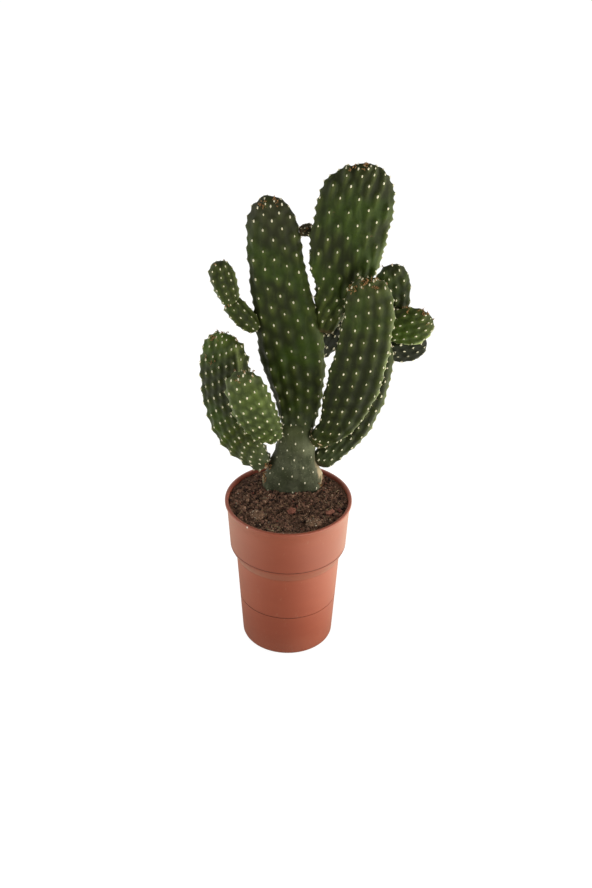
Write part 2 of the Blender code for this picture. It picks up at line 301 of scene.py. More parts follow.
@dataclass(frozen=True)
class CactusSkin:
    """Waxy cactus skin: painted shade between the tubercles and a painted highlight on them, pale along the
    margins, partly its own paler edge and partly a painted highlight on the side that faces the light.

    The cork_reach is the share of a pad's length over which cork creeps up from its foot.
    """

    name: str
    dark_and_painted_shade: Colour
    face: Colour
    # crest: the pale colour of the tubercles' tops, a painted highlight there, also used for pale streaks and
    # specks
    crest: Colour
    blush: Colour
    margin: Colour
    cork: Colour
    cork_reach: float
    roughness: float
    foot: Colour = (0.060, 0.073, 0.040)
    tip: Colour = (0.036, 0.034, 0.018)

    def material(self) -> bpy.types.Material:
        """Make the skin's material.

        Returns:
            The material.
        """
        g = Surface(self.name)
        tubercle, margin, along = g.mark("tubercle"), g.mark("margin"), g.mark("along")
        patches = g.noise(28, 3)
        clouds = g.noise(90, 3, 0.6)
        streaks = g.noise(240, 2, 0.5, g.place((1, 1, 0.25)))
        grain = g.noise(1500, 2)
        # Painted shade in the hollows between the tubercles and a painted highlight on their crests; the same
        # two colours also give random dark mottling and pale streaks.
        colour = g.mix(tubercle.between(0.0, 0.6), self.dark_and_painted_shade, self.face)
        colour = g.mix(tubercle.between(0.5, 1.1) * 0.7, colour, self.crest)
        colour = g.mix(patches.between(0.42, 0.68) * 0.65, colour, self.blush)
        colour = g.mix(clouds.between(0.45, 0.7) * 0.5, colour, self.dark_and_painted_shade)
        colour = g.mix(g.noise(330, 3, 0.65).between(0.5, 0.75) * 0.3, colour, self.dark_and_painted_shade)
        colour = g.mix(streaks.between(0.55, 0.8) * 0.22, colour, self.crest)
        # Pale margins: partly the skin's own paler edge, partly a painted highlight where an edge or keel
        # faces the light.
        colour = g.mix(margin * clouds.between(0.25, 0.5) * 0.8, colour, self.margin)
        specks = 1 - g.cells(420).between(0.08, 0.2)
        colour = g.mix(specks * g.noise(60).between(0.5, 0.62) * 0.4, colour, self.crest)
        scars = g.noise(130, 4, 0.7).between(0.68, 0.76)
        corky = (1 - along / self.cork_reach).at_least(0) * clouds.between(0.25, 0.6) * g.mark("foot_cork")
        colour = g.mix((scars * 0.6 + corky).at_most(0.9), colour, self.cork)
        colour = g.mix(g.mark("grey_foot") * 0.85, colour, self.foot)
        colour = g.mix(g.mark("dark_tip") * clouds.between(0.2, 0.5), colour, self.tip)
        # Each pad's tone along its length: partly its own tone, mostly painted shade and painted light.
        colour = g.mix(1.0, colour, g.mark("tone_and_painted_light"), "MULTIPLY")
        wax = self.roughness + clouds * 0.16 + grain * 0.1 + corky * 0.2
        relief = g.bump(grain, 0.35, 0.00012)
        relief = g.bump(streaks + clouds + g.noise(520, 3, 0.6) * 0.6, 0.7, 0.0005, relief)
        return g.finish(Base_Color=colour, Roughness=wax, Normal=relief, Specular_IOR_Level=0.13)


@dataclass(frozen=True)
class OldStem:
    """The speckled grey-green skin of the trunk's foot, with painted shade between its tubercles, a worn neck
    and torn, dry margins.

    The neck's place and reach are in metres.
    """

    green: Colour = (0.036, 0.042, 0.018)
    grey: Colour = (0.070, 0.075, 0.042)
    pale: Colour = (0.15, 0.16, 0.09)
    neck_green: Colour = (0.055, 0.066, 0.022)
    dry: Colour = (0.36, 0.28, 0.17)
    dark: Colour = (0.016, 0.018, 0.010)
    neck: Point = (0.018, 0.013, 0.205)
    neck_reach: float = 0.016

    def material(self) -> bpy.types.Material:
        """Make the stem's material.

        Returns:
            The material.
        """
        g = Surface("old_stem_skin")
        margin, along, tubercle = g.mark("margin"), g.mark("along"), g.mark("tubercle")
        grain = g.noise(150, 4, 0.65, g.place((1, 1, 0.5)))
        patches = g.noise(85, 5, 0.65)
        fine = g.noise(620, 3, 0.6)
        colour = g.mix(patches.between(0.35, 0.65), self.green, self.grey)
        # Painted shade between the tubercles.
        colour = g.mix((1 - tubercle) * 0.2, colour, self.dark)
        colour = g.mix(grain.between(0.56, 0.7) * 0.35, colour, self.pale)
        colour = g.mix(fine.between(0.52, 0.68) * 0.5, colour, self.dark)
        colour = g.mix((1 - g.cells(330).between(0.1, 0.24)) * 0.5, colour, self.pale)
        worn = 1 - (g.distance(self.neck) / self.neck_reach + grain * 0.5).between(0.4, 1.2)
        colour = g.mix(along.between(0.68, 0.95) * 0.8, colour, self.neck_green)
        colour = g.mix(worn * 0.4, colour, self.pale)
        torn = margin.between(0.3, 0.9) * grain.between(0.36, 0.55) * (1 - along.between(0.45, 0.72))
        colour = g.mix(torn, colour, self.dry)
        relief = g.bump(grain + fine * 0.5, 0.7, 0.0006)
        return g.finish(Base_Color=colour, Roughness=0.55 + patches * 0.25, Normal=relief,
                        Specular_IOR_Level=0.18)


@dataclass(frozen=True)
class PotPlastic:
    """Terracotta-orange moulded plastic with a satin face, faint flow marks, scuffs and a little dust, with
    painted shade in its two grooves and over the step and band above the band's foot.

    The heights of its lines and of the band's foot, and the scratch's place, are in metres.
    """

    body: Colour = (0.24, 0.046, 0.019)
    worn: Colour = (0.28, 0.060, 0.026)
    dust: Colour = (0.34, 0.20, 0.13)
    scratch: Colour = (0.75, 0.66, 0.58)
    scratched: Point = (-0.0375, -0.0465, 0.1535)
    bloom: Colour = (1.0, 0.88, 0.62)
    pot_painted_shade: Colour = (0.07, 0.018, 0.010)
    groove_height: float = 0.047
    line_height: float = 0.1069
    half_line: float = 0.0006
    band_foot: float = 0.094
    roughness: float = 0.46

    def material(self) -> bpy.types.Material:
        """Make the plastic's material.

        Returns:
            The material.
        """
        g = Surface("pot_plastic")
        flow = g.noise(14, 3, 0.55, g.place((1, 1, 2.5)))
        rings = g.noise(160, 2, 0.5, g.place((0.04, 0.04, 1)))
        scuffs = g.noise(420, 3, 0.6, g.place((1, 1, 0.2), (0.3, 0.2, 0)))
        fine = g.noise(1400, 2)
        colour = g.mix(flow.between(0.35, 0.7) * 0.5, self.body, self.worn)
        colour = g.mix(scuffs.between(0.64, 0.74) * 0.25, colour, self.dust)
        flecks = (1 - g.cells(260).between(0.05, 0.11)) * g.noise(45).between(0.46, 0.6)
        colour = g.mix(flecks * 0.45, colour, self.dust)
        height, across = g.part("Z"), g.part("X")
        low = 1 - height.between(0.0, 0.03)
        colour = g.mix(low * fine.between(0.45, 0.7) * 0.3, colour, self.dust)
        # Painted shade in the two grooves; the low groove's shade fades out on the lit +X side.
        faded = self._line(height, self.groove_height) * (1 - across.between(0.005, 0.03) * 0.8)
        lines = faded.at_least(self._line(height, self.line_height))
        # Painted shade: a little darker over the step and band above the band's foot, and dark in the
        # grooves.
        colour = g.mix(height.between(self.band_foot - 0.002, self.band_foot) * 0.16, colour, self.pot_painted_shade)
        colour = g.mix(lines * 0.75, colour, self.pot_painted_shade)
        scraped = (1 - g.distance(self.scratched).between(0.0003, 0.0013)) * scuffs.between(0.4, 0.5)
        colour = g.mix(scraped, colour, self.scratch)
        gloss = self.roughness + flow * 0.1 + scuffs.between(0.6, 0.8) * 0.15 + low * 0.1
        relief = g.bump(rings, 0.15, 0.0003)
        relief = g.bump(fine, 0.12, 0.00008, relief)
        return g.finish(Base_Color=colour, Roughness=gloss, Normal=relief, Specular_IOR_Level=0.5,
                        Sheen_Weight=0.18, Sheen_Roughness=0.4, Sheen_Tint=self.bloom)

    def _line(self, height: Signal, middle: float) -> Signal:
        """A thin line round the pot at a height in metres, 1 in its middle."""
        return 1 - (height - middle).at_least(middle - height).between(self.half_line / 2, self.half_line)


@dataclass(frozen=True)
class Crumb:
    """Dry loose matter whose colour each grain carries, such as soil, bark, grit and straw."""

    name: str
    scale: float
    roughness: float = 0.92

    def material(self) -> bpy.types.Material:
        """Make the loose matter's material.

        Returns:
            The material.
        """
        g = Surface(self.name)
        own = g.tint("own_colour")
        speckle = g.noise(self.scale, 3, 0.65)
        colour = g.mix(speckle.between(0.3, 0.7) * 0.7, own, g.mix(1.0, own, (0.32, 0.30, 0.30), "MULTIPLY"))
        relief = g.bump(speckle, 0.8, 0.0004)
        return g.finish(Base_Color=colour, Roughness=self.roughness, Normal=relief, Specular_IOR_Level=0.2)


@dataclass(frozen=True)
class PottingMix:
    """The body of the soil: dark brown peat and fibre with paler flecks."""

    dark: Colour = (0.044, 0.024, 0.016)
    brown: Colour = (0.21, 0.115, 0.072)
    straw: Colour = (0.32, 0.21, 0.12)

    def material(self) -> bpy.types.Material:
        """Make the potting mix's material.

        Returns:
            The material.
        """
        g = Surface("potting_mix")
        clods = g.noise(170, 5, 0.7)
        fine = g.noise(1300, 3, 0.6)
        colour = g.mix(clods.between(0.35, 0.68), self.dark, self.brown)
        colour = g.mix(fine.between(0.6, 0.72) * 0.7, colour, self.straw)
        relief = g.bump(clods + fine * 0.5, 1.0, 0.0012)
        return g.finish(Base_Color=colour, Roughness=0.95, Normal=relief, Specular_IOR_Level=0.15)


@dataclass(frozen=True)
class Felt:
    """Short wool, horn or dry leaf: a pale colour broken up by fine noise."""

    name: str
    light: Colour
    shade: Colour
    scale: float = 1500.0
    roughness: float = 0.85

    def material(self) -> bpy.types.Material:
        """Make the felt's material.

        Returns:
            The material.
        """
        g = Surface(self.name)
        fuzz = g.noise(self.scale, 2, 0.6)
        colour = g.mix(fuzz.between(0.4, 0.75), self.light, self.shade)
        relief = g.bump(fuzz, 0.5, 0.0002)
        return g.finish(Base_Color=colour, Roughness=self.roughness, Normal=relief, Specular_IOR_Level=0.25)


@dataclass(frozen=True)
class FinishBook:
    """Every finish that the object uses, made once."""

    skins: dict[Age, bpy.types.Material]
    felt: bpy.types.Material
    bristle: bpy.types.Material
    remnant: bpy.types.Material
    plastic: bpy.types.Material
    mix: bpy.types.Material
    crumbs: bpy.types.Material
    bark: bpy.types.Material
    cork: bpy.types.Material

    @classmethod
    def make(cls) -> "FinishBook":
        """Make all the materials.

        Returns:
            The book of finishes.
        """
        brown = (0.10, 0.06, 0.03)
        grown = CactusSkin("grown_skin", (0.013, 0.017, 0.003), (0.035, 0.046, 0.007), (0.078, 0.097, 0.022),
                           (0.031, 0.058, 0.004), (0.21, 0.25, 0.085), brown, 0.05, 0.44)
        young = CactusSkin("young_skin", (0.030, 0.042, 0.011), (0.068, 0.092, 0.024), (0.115, 0.150, 0.046),
                           (0.075, 0.105, 0.016), (0.20, 0.22, 0.075), brown, 0.08, 0.46)
        bud = CactusSkin("bud_skin", (0.026, 0.022, 0.010), (0.080, 0.070, 0.032), (0.150, 0.130, 0.065),
                         (0.050, 0.050, 0.018), (0.12, 0.08, 0.04), brown, 0.3, 0.6)
        return cls(
            skins={Age.OLD: OldStem().material(), Age.GROWN: grown.material(), Age.YOUNG: young.material(),
                   Age.BUDDING: bud.material()},
            felt=Felt("areole_felt", (0.68, 0.65, 0.50), (0.45, 0.38, 0.24)).material(),
            bristle=Felt("bristle_horn", (0.72, 0.60, 0.36), (0.45, 0.30, 0.13), 3000, 0.5).material(),
            remnant=Felt("dry_remnant", (0.32, 0.17, 0.065), (0.12, 0.062, 0.026), 900).material(),
            plastic=PotPlastic().material(),
            mix=PottingMix().material(),
            crumbs=Crumb("soil_crumbs", 900).material(),
            bark=Crumb("bark_chip", 500, 0.85).material(),
            cork=Felt("cork_scab", (0.34, 0.25, 0.14), (0.10, 0.055, 0.03), 600).material(),
        )


# ----------------------------------------------------------------------------------------------------
# Mesh helpers
# ----------------------------------------------------------------------------------------------------


def new_mesh(name: str, bm: bmesh.types.BMesh) -> bpy.types.Mesh:
    """Turn a bmesh into a smooth-shaded mesh and free it.

    Args:
        name: The mesh's name.
        bm: The bmesh.

    Returns:
        The mesh.
    """
    mesh = bpy.data.meshes.new(name)
    bm.to_mesh(mesh)
    bm.free()
    mesh.shade_smooth()
    return mesh


def read_points(mesh: bpy.types.Mesh) -> np.ndarray:
    """The mesh's points as an array of rows."""
    flat = np.empty(len(mesh.vertices) * 3)
    mesh.vertices.foreach_get("co", flat)
    return flat.reshape(-1, 3)


def write_points(mesh: bpy.types.Mesh, points: np.ndarray) -> None:
    """Move the mesh's points."""
    mesh.vertices.foreach_set("co", points.reshape(-1))
    mesh.update()


def read_normals(mesh: bpy.types.Mesh) -> np.ndarray:
    """The mesh's outward directions at its points."""
    flat = np.empty(len(mesh.vertices) * 3)
    mesh.vertex_normals.foreach_get("vector", flat)
    return flat.reshape(-1, 3)


def write_mark(mesh: bpy.types.Mesh, name: str, values: np.ndarray) -> None:
    """Give the mesh's points a number each."""
    mesh.attributes.new(name, "FLOAT", "POINT").data.foreach_set("value", values.astype(np.float32))


def write_tint(mesh: bpy.types.Mesh, name: str, colours: np.ndarray) -> None:
    """Give the mesh's points a colour each."""
    full = np.concatenate((colours, np.ones((len(colours), 1))), axis=1).astype(np.float32)
    mesh.attributes.new(name, "FLOAT_COLOR", "POINT").data.foreach_set("color", full.reshape(-1))


def stamp(name: str, pattern: bmesh.types.BMesh, places: Sequence[Matrix],
          colours: Optional[np.ndarray] = None) -> bpy.types.Mesh:
    """Repeat one small shape at many places in one mesh.

    Args:
        name: The mesh's name.
        pattern: The shape, which is freed.
        places: Where it goes, with its turn and size.
        colours: One colour for each place, or None.

    Returns:
        The mesh.
    """
    corners = np.array([vertex.co[:] for vertex in pattern.verts])
    faces = [[vertex.index for vertex in face.verts] for face in pattern.faces]
    pattern.free()
    count = len(corners)
    moves = np.array([[list(row) for row in place] for place in places])
    points = np.einsum("pij,vj->pvi", moves[:, :3, :3], corners) + moves[:, None, :3, 3]
    mesh = bpy.data.meshes.new(name)
    repeated = [[index + count * copy for index in face] for copy in range(len(places)) for face in faces]
    mesh.from_pydata(points.reshape(-1, 3), [], repeated)
    mesh.shade_smooth()
    if colours is not None:
        write_tint(mesh, "own_colour", np.repeat(colours, count, axis=0))
    return mesh


def ball_pattern(segments: int, rings: int) -> bmesh.types.BMesh:
    """A small ball of unit radius."""
    bm = bmesh.new()
    bmesh.ops.create_uvsphere(bm, u_segments=segments, v_segments=rings, radius=1)
    bm.verts.index_update()
    return bm


def pebble_pattern(rng: np.random.Generator) -> bmesh.types.BMesh:
    """An uneven crumb of 20 faces and about unit radius."""
    bm = bmesh.new()
    bmesh.ops.create_icosphere(bm, subdivisions=1, radius=1)
    for vertex in bm.verts:
        vertex.co *= float(rng.uniform(0.7, 1.25))
    bm.verts.index_update()
    return bm


def spike_pattern(sides: int = 3) -> bmesh.types.BMesh:
    """A slim cone of unit radius and unit length, along +Z from the origin."""
    bm = bmesh.new()
    bmesh.ops.create_cone(bm, cap_ends=True, segments=sides, radius1=1, radius2=0.12, depth=1)
    bmesh.ops.translate(bm, verts=bm.verts, vec=(0, 0, 0.5))
    bm.verts.index_update()
    return bm


def frame_matrix(place: Vector, along: Vector, out: Vector, sizes: Point) -> Matrix:
    """A place with its Y axis along one direction, its Z axis near another, and a size on each axis.

    Args:
        place: The origin, in metres.
        along: The direction of Y.
        out: The direction that Z is near.
        sizes: The sizes along X, Y and Z, in metres.

    Returns:
        The placing matrix.
    """
    y = along.normalized()
    z = (out - out.dot(y) * y).normalized()
    x = y.cross(z)
    turn = Matrix((x, y, z)).transposed().to_4x4()
    return Matrix.Translation(place) @ turn @ Matrix.Diagonal((*sizes, 1.0))


def put(name: str, mesh: bpy.types.Mesh, material: bpy.types.Material) -> bpy.types.Object:
    """Place a finished piece on the frame's only body.

    Args:
        name: The piece's name.
        mesh: Its mesh, in the frame's place.
        material: Its finish.

    Returns:
        The piece.
    """
    mesh.materials.append(material)
    piece = bpy.data.objects.new(name, mesh)
    bpy.context.scene.collection.objects.link(piece)
    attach(piece, "root")
    LOG.info("%s: %d faces", name, len(mesh.polygons))
    return piece


def smooth_read(steps: Sequence[float], values: Any, where: np.ndarray) -> np.ndarray:
    """Read a smooth cubic curve through values at rising steps.

    Args:
        steps: The rising positions.
        values: The values at them, numbers or rows.
        where: The positions to read.

    Returns:
        The values there.
    """
    x = np.asarray(steps, float)
    y = np.asarray(values, float)
    slopes = np.gradient(y, x, axis=0)
    span = np.clip(np.searchsorted(x, where) - 1, 0, len(x) - 2)
    length = x[span + 1] - x[span]
    s = (where - x[span]) / length
    weights = [2 * s**3 - 3 * s**2 + 1, (s**3 - 2 * s**2 + s) * length,
               3 * s**2 - 2 * s**3, (s**3 - s**2) * length]
    parts = [y[span], slopes[span], y[span + 1], slopes[span + 1]]
    if y.ndim == 2:
        weights = [weight[:, None] for weight in weights]
    return sum(weight * part for weight, part in zip(weights, parts))


def read_profile(profile: Profile, where: np.ndarray) -> np.ndarray:
    """Read sizes from (fraction, size) steps."""
    return smooth_read([step[0] for step in profile], [step[1] for step in profile], where)


# ----------------------------------------------------------------------------------------------------
# Pads
# ----------------------------------------------------------------------------------------------------


@dataclass(frozen=True)
class Lattice:
    """How areoles are set on a pad: columns round it, and rows that step up from column to column.

    The climb is a whole number of rows for one turn to the right, so that the pattern closes round the pad.
    The twist is the share of a turn that the columns drift from foot to tip. Where edge_pitch is not 0, a
    closer column runs along each margin.
    """

    columns: int
    climb: int
    pitch: float
    foot_pitch: float = 6.0
    tip_pitch: float = 5.0
    start: float = 0.0
    first_column: float = 0.0
    tip_reach: float = 22.0
    foot_reach: float = 16.0
    twist: float = 0.0
    edge_pitch: float = 0.0

    @property
    def shift(self) -> float:
        """How many rows each column stands above the one on its left."""
        return self.climb / self.columns


@dataclass(frozen=True)
class Relief:
    """How the skin is raised: tubercles under the areoles, ribs along the columns, and a slow waviness."""

    tubercle: float = 2.0
    above: float = 2.8
    below: float = 8.0
    side: float = 3.4
    rib: float = 0.4
    wave: float = 0.5


@dataclass(frozen=True)
class Keel:
    """A raised line along a pad's face: its place round the section in degrees, height, width and stretch,
    and how strongly it is painted pale as a highlight.
    """

    angle: float
    height: float
    width: float
    foot: float
    tip: float
    keel_painted_highlight: float = 0.8


@dataclass(frozen=True)
class Dent:
    """A shallow dent: its fraction of the length, its place round in degrees, its depth and its reach."""

    along: float
    angle: float
    depth: float
    reach: float


@dataclass(frozen=True)
class Scrap:
    """A patch of dry brown scraps: its fraction of the length, its place round in degrees, and how many."""

    along: float
    angle: float
    count: int


@dataclass
class Pad:
    """One segment of the plant, drawn out along a midline from its foot to its tip.

    The sizes repeat those of the CAD segment of the same name, which the fine one replaces.
    """

    name: str
    midline: tuple[Point, ...]
    half_width: Profile
    half_depth: Profile
    turn: tuple[float, float]
    round_off: tuple[float, float]
    age: Age
    lattice: Lattice
    relief: Relief = Relief()
    keels: tuple[Keel, ...] = ()
    dents: tuple[Dent, ...] = ()
    slot: str = "pad_skin"
    section_power: float = 2.6
    areole_size: float = 1.0
    bristles: int = 4
    step: float = 1.3
    tip_remnants: int = 0
    scraps: tuple[Scrap, ...] = ()
    # How pale each margin is, left and right: the skin's own paler edge, raised on the side that faces the
    # light as a painted highlight.
    pale_and_painted_highlight_sides: tuple[float, float] = (0.15, 0.45)
    cork_collar: bool = False
    foot_cork: float = 1.0
    grey_foot: float = 0.0
    dark_tip: float = 0.3
    # Brightness along the pad, foot to tip: partly its own tone, mostly painted shade where other pads shade
    # it and painted light where it stands in the light.
    tones_and_painted_light: Profile = ((0, 1.0), (1, 1.0))

    STATIONS = 500        # steps along the midline
    SUNK = 0.25           # share of a tubercle by which the hollows lie under the plain pad
    MARGIN_REACH = 2.8    # how far a margin's tubercles reach down, in mm
    LEAST_GAP = 3.4       # columns closer than this lose every other areole
    LEAST_TIP_GAP = 1.6   # columns closer than this keep one in four
    GREY_REACH = 42.0     # how far the grey creeps up from a pad's foot, in mm
    # The skin's slow unevenness: three waves, in radians per mm along X, Y and Z.
    WAVES = ((0.071, 0.093, 0.083), (-0.11, 0.06, 0.097), (0.21, -0.17, 0.19))

    def __post_init__(self) -> None:
        """Work out the stations along the midline."""
        points = np.asarray(self.midline, float)
        gaps = np.linalg.norm(np.diff(points, axis=0), axis=1)
        distance = np.concatenate(([0.0], np.cumsum(gaps)))
        self.length = float(distance[-1])
        fractions = distance / self.length
        t = np.linspace(0, 1, self.STATIONS)
        self.t = t
        self.centre = smooth_read(fractions, points, t)
        along = np.gradient(self.centre, t, axis=0)
        self.along = along / np.linalg.norm(along, axis=1)[:, None]
        angle = np.radians(self.turn[0] + (self.turn[1] - self.turn[0]) * t)
        facing = np.stack((np.sin(angle), -np.cos(angle), np.zeros_like(t)), axis=1)
        facing -= np.sum(facing * self.along, axis=1)[:, None] * self.along
        self.facing = facing / np.linalg.norm(facing, axis=1)[:, None]
        self.across = np.cross(self.facing, self.along)
        foot = np.clip(t * self.length / self.round_off[0], 0, 1)
        tip = np.clip((1 - t) * self.length / self.round_off[1], 0, 1)
        size = np.sqrt(1 - (1 - foot) ** 2) * np.sqrt(1 - (1 - tip) ** 2)
        self.wide = read_profile(self.half_width, t) * size
        self.deep = read_profile(self.half_depth, t) * size
        steps = np.hypot(np.diff(t) * self.length, np.diff(self.wide))
        self.surface = np.concatenate(([0.0], np.cumsum(steps)))
        self._measure_section()

    def _measure_section(self) -> None:
        """Work out how far round the section each angle is, so that columns are evenly spaced."""
        angles = np.linspace(0, 2 * math.pi, 721)
        wide, deep = float(self.wide.max()), float(self.deep.max())
        x, y = wide * self._squared(np.cos(angles)), deep * self._squared(np.sin(angles))
        gone = np.concatenate(([0.0], np.cumsum(np.hypot(np.diff(x), np.diff(y)))))
        self.girth = float(gone[-1])
        self.share_table = gone / gone[-1]
        self.angle_table = angles

    def _squared(self, value: np.ndarray) -> np.ndarray:
        """Turn a sine or cosine into its superellipse share."""
        return np.sign(value) * np.abs(value) ** (2 / self.section_power)

    def share_at(self, degrees: float) -> float:
        """The fraction of the way round at an angle: 0 is one margin, 90 the face, 180 the other margin."""
        return float(np.interp(math.radians(degrees), self.angle_table, self.share_table))

    def _read(self, table: np.ndarray, where: np.ndarray) -> np.ndarray:
        """Read a table kept at the stations."""
        if table.ndim == 1:
            return np.interp(where, self.t, table)
        return np.stack([np.interp(where, self.t, table[:, axis]) for axis in range(3)], axis=1)

    def plain(self, where: np.ndarray, round_share: np.ndarray) -> np.ndarray:
        """Points of the plain pad, with no relief.

        Args:
            where: Fractions of the length.
            round_share: Fractions of the way round the section.

        Returns:
            Rows of points.
        """
        angle = np.interp(np.mod(round_share, 1.0), self.share_table, self.angle_table)
        wide = self._read(self.wide, where) * self._squared(np.cos(angle))
        deep = self._read(self.deep, where) * self._squared(np.sin(angle))
        return (self._read(self.centre, where) + self._read(self.across, where) * wide[:, None]
                + self._read(self.facing, where) * deep[:, None])

    def outward(self, where: np.ndarray, round_share: np.ndarray) -> np.ndarray:
        """Outward directions of the plain pad.

        Args:
            where: Fractions of the length.
            round_share: Fractions of the way round the section.

        Returns:
            Rows of unit vectors.
        """
        small_t, small_a = 0.004, 0.004
        low, high = np.clip(where - small_t, 0, 1), np.clip(where + small_t, 0, 1)
        up = self.plain(high, round_share) - self.plain(low, round_share)
        side = self.plain(where, round_share + small_a) - self.plain(where, round_share - small_a)
        out = np.cross(side, up)
        out /= np.linalg.norm(out, axis=1)[:, None] + 1e-9
        inward = np.sum(out * (self.plain(where, round_share) - self._read(self.centre, where)), axis=1) < 0
        out[inward] *= -1
        return out

    def row_places(self) -> np.ndarray:
        """Distances over the surface from the foot at which whole rows of areoles lie."""
        lattice = self.lattice
        places = [1.5]
        while places[-1] < self.surface[-1]:
            here = places[-1]
            foot = min(1.0, here / lattice.foot_reach)
            tip = min(1.0, max(0.0, (self.surface[-1] - here) / lattice.tip_reach))
            pitch = lattice.foot_pitch + (lattice.pitch - lattice.foot_pitch) * foot**1.5
            pitch = min(pitch, lattice.tip_pitch + (lattice.pitch - lattice.tip_pitch) * tip)
            places.append(here + pitch)
        return np.array(places)

    def areoles(self) -> tuple[np.ndarray, np.ndarray, np.ndarray]:
        """Where the areoles are.

        Returns:
            Fractions of the length, fractions of the way round, and each tubercle's share of its full reach.
        """
        lattice = self.lattice
        rows = self.row_places()
        found: list[tuple[float, float, float]] = []
        for column in range(lattice.columns):
            offset = (lattice.start + lattice.shift * column) % 1.0
            for row in range(-1, len(rows)):
                distance = float(np.interp(row + offset, np.arange(len(rows)), rows, left=-1, right=1e9))
                if not 1.0 < distance < self.surface[-1] - 1.5:
                    continue
                fraction = float(np.interp(distance, self.surface, self.t))
                girth = np.interp(fraction, self.t, self.wide) / self.wide.max() * self.girth
                gap = girth / lattice.columns
                if gap < self.LEAST_GAP and (column + row) % 2 or gap < self.LEAST_TIP_GAP and column % 4:
                    continue
                turned = (column + lattice.first_column) / lattice.columns + lattice.twist * (fraction - 0.5)
                from_edge = abs((turned * 2 + 0.5) % 1.0 - 0.5) / 2 * lattice.columns
                if lattice.edge_pitch == 0 or from_edge > 0.42:
                    found.append((fraction, turned % 1.0, 1.0))
        if lattice.edge_pitch:
            for side in (0.0, 0.5):
                first = lattice.edge_pitch * (0.7 + side / 2)
                for distance in np.arange(first, self.surface[-1] - 2, lattice.edge_pitch):
                    fraction = float(np.interp(distance, self.surface, self.t))
                    found.append((fraction, side, min(1.0, self.MARGIN_REACH / self.relief.below)))
        cells = np.array(found)
        rng = np.random.default_rng(len(self.name))
        along = np.clip(cells[:, 0] + rng.normal(0, 0.45, len(cells)) / self.length, 0.005, 0.997)
        turned = np.mod(cells[:, 1] + rng.normal(0, 0.035, len(cells)) / lattice.columns, 1.0)
        return along, turned, cells[:, 2]

    def raise_skin(self, points: np.ndarray, where: np.ndarray, round_share: np.ndarray,
                   centres: np.ndarray, axes: np.ndarray, sizes: np.ndarray,
                   stretch: np.ndarray) -> tuple[np.ndarray, np.ndarray]:
        """How far the skin stands proud of the plain pad.

        Args:
            points: Points on the plain pad.
            where: Their fractions of the length.
            round_share: Their fractions of the way round.
            centres: The areoles' places on the plain pad.
            axes: The midline's direction at each areole.
            sizes: Each tubercle's share of its full height.
            stretch: Each tubercle's share of its full reach.

        Returns:
            Heights in millimetres, and how much of a tubercle there is, from 0 to 1.
        """
        relief = self.relief
        crest = np.zeros(len(points))
        for start in range(0, len(points), 4000):
            block = points[start:start + 4000]
            apart = block[:, None, :] - centres[None, :, :]
            lengthwise = np.einsum("vaj,aj->va", apart, axes)
            sideways = np.maximum(np.einsum("vaj,vaj->va", apart, apart) - lengthwise**2, 0)
            reach = np.where(lengthwise > 0, relief.above, relief.below * stretch[None, :])
            shape = np.exp(-((lengthwise / reach) ** 2) - sideways / relief.side**2) * sizes[None, :]
            crest[start:start + 4000] = np.minimum(shape.sum(axis=1), 1.15)
        ends = np.minimum(1, np.minimum(where, 1 - where) * 6)
        lattice = self.lattice
        columns = (round_share - lattice.twist * (where - 0.5)) * lattice.columns - lattice.first_column
        ribs = relief.rib * np.cos(2 * math.pi * columns) * ends
        first, second, third = (points @ np.array(wave) for wave in self.WAVES)
        slow = np.sin(first + 1.3) * np.sin(second) + 0.5 * np.sin(third + 0.4)
        height = relief.tubercle * (crest - self.SUNK) + ribs + relief.wave * slow * ends
        for keel in self.keels:
            height += self._keel_height(keel, where, round_share)
        for dent in self.dents:
            middle = self.plain(np.array([dent.along]), np.array([self.share_at(dent.angle)]))
            height -= dent.depth * np.exp(-np.sum((points - middle) ** 2, axis=1) / dent.reach**2)
        return height, crest

    def _keel_height(self, keel: Keel, where: np.ndarray, round_share: np.ndarray) -> np.ndarray:
        """How far a keel stands proud.

        Args:
            keel: The keel.
            where: Fractions of the length.
            round_share: Fractions of the way round.

        Returns:
            Heights in millimetres.
        """
        away = (np.mod(round_share - self.share_at(keel.angle) + 0.5, 1.0) - 0.5) * self.girth / keel.width
        stretch = np.clip((where - keel.foot) / 0.08, 0, 1) * np.clip((keel.tip - where) / 0.08, 0, 1)
        return keel.height * np.exp(-(away**2)) * stretch

    def build(self, book: FinishBook) -> None:
        """Make the pad's skin, areoles, bristles and remnants, and put them in place of the CAD segment.

        Args:
            book: The finishes.
        """
        rng = np.random.default_rng(sum(ord(letter) for letter in self.name))
        spots, turns, stretch = self.areoles()
        out = self.outward(spots, turns)
        centres, axes = self.plain(spots, turns), self._read(self.along, spots)
        sizes = np.clip(np.interp(spots, self.t, self.wide) / (0.55 * self.wide.max()), 0.25, 1)
        sizes *= rng.uniform(0.65, 1.12, len(sizes)) * np.where(stretch < 1, 0.7, 1)
        mesh = self._skin(centres, axes, sizes, stretch)
        skin = put(self.name + "_skin", mesh, book.skins[self.age])
        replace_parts(skin, self.name)
        height, _ = self.raise_skin(centres, spots, turns, centres, axes, sizes, stretch)
        seats = centres + out * (height - 0.15)[:, None]
        self._check_fit(mesh)
        self._wool(seats, axes, out, rng, book)
        self._bristle(seats, axes, out, rng, book)
        if self.tip_remnants or self.scraps:
            self._remnants(seats, out, spots, rng, book)
        if self.cork_collar:
            self._collar(rng, book)

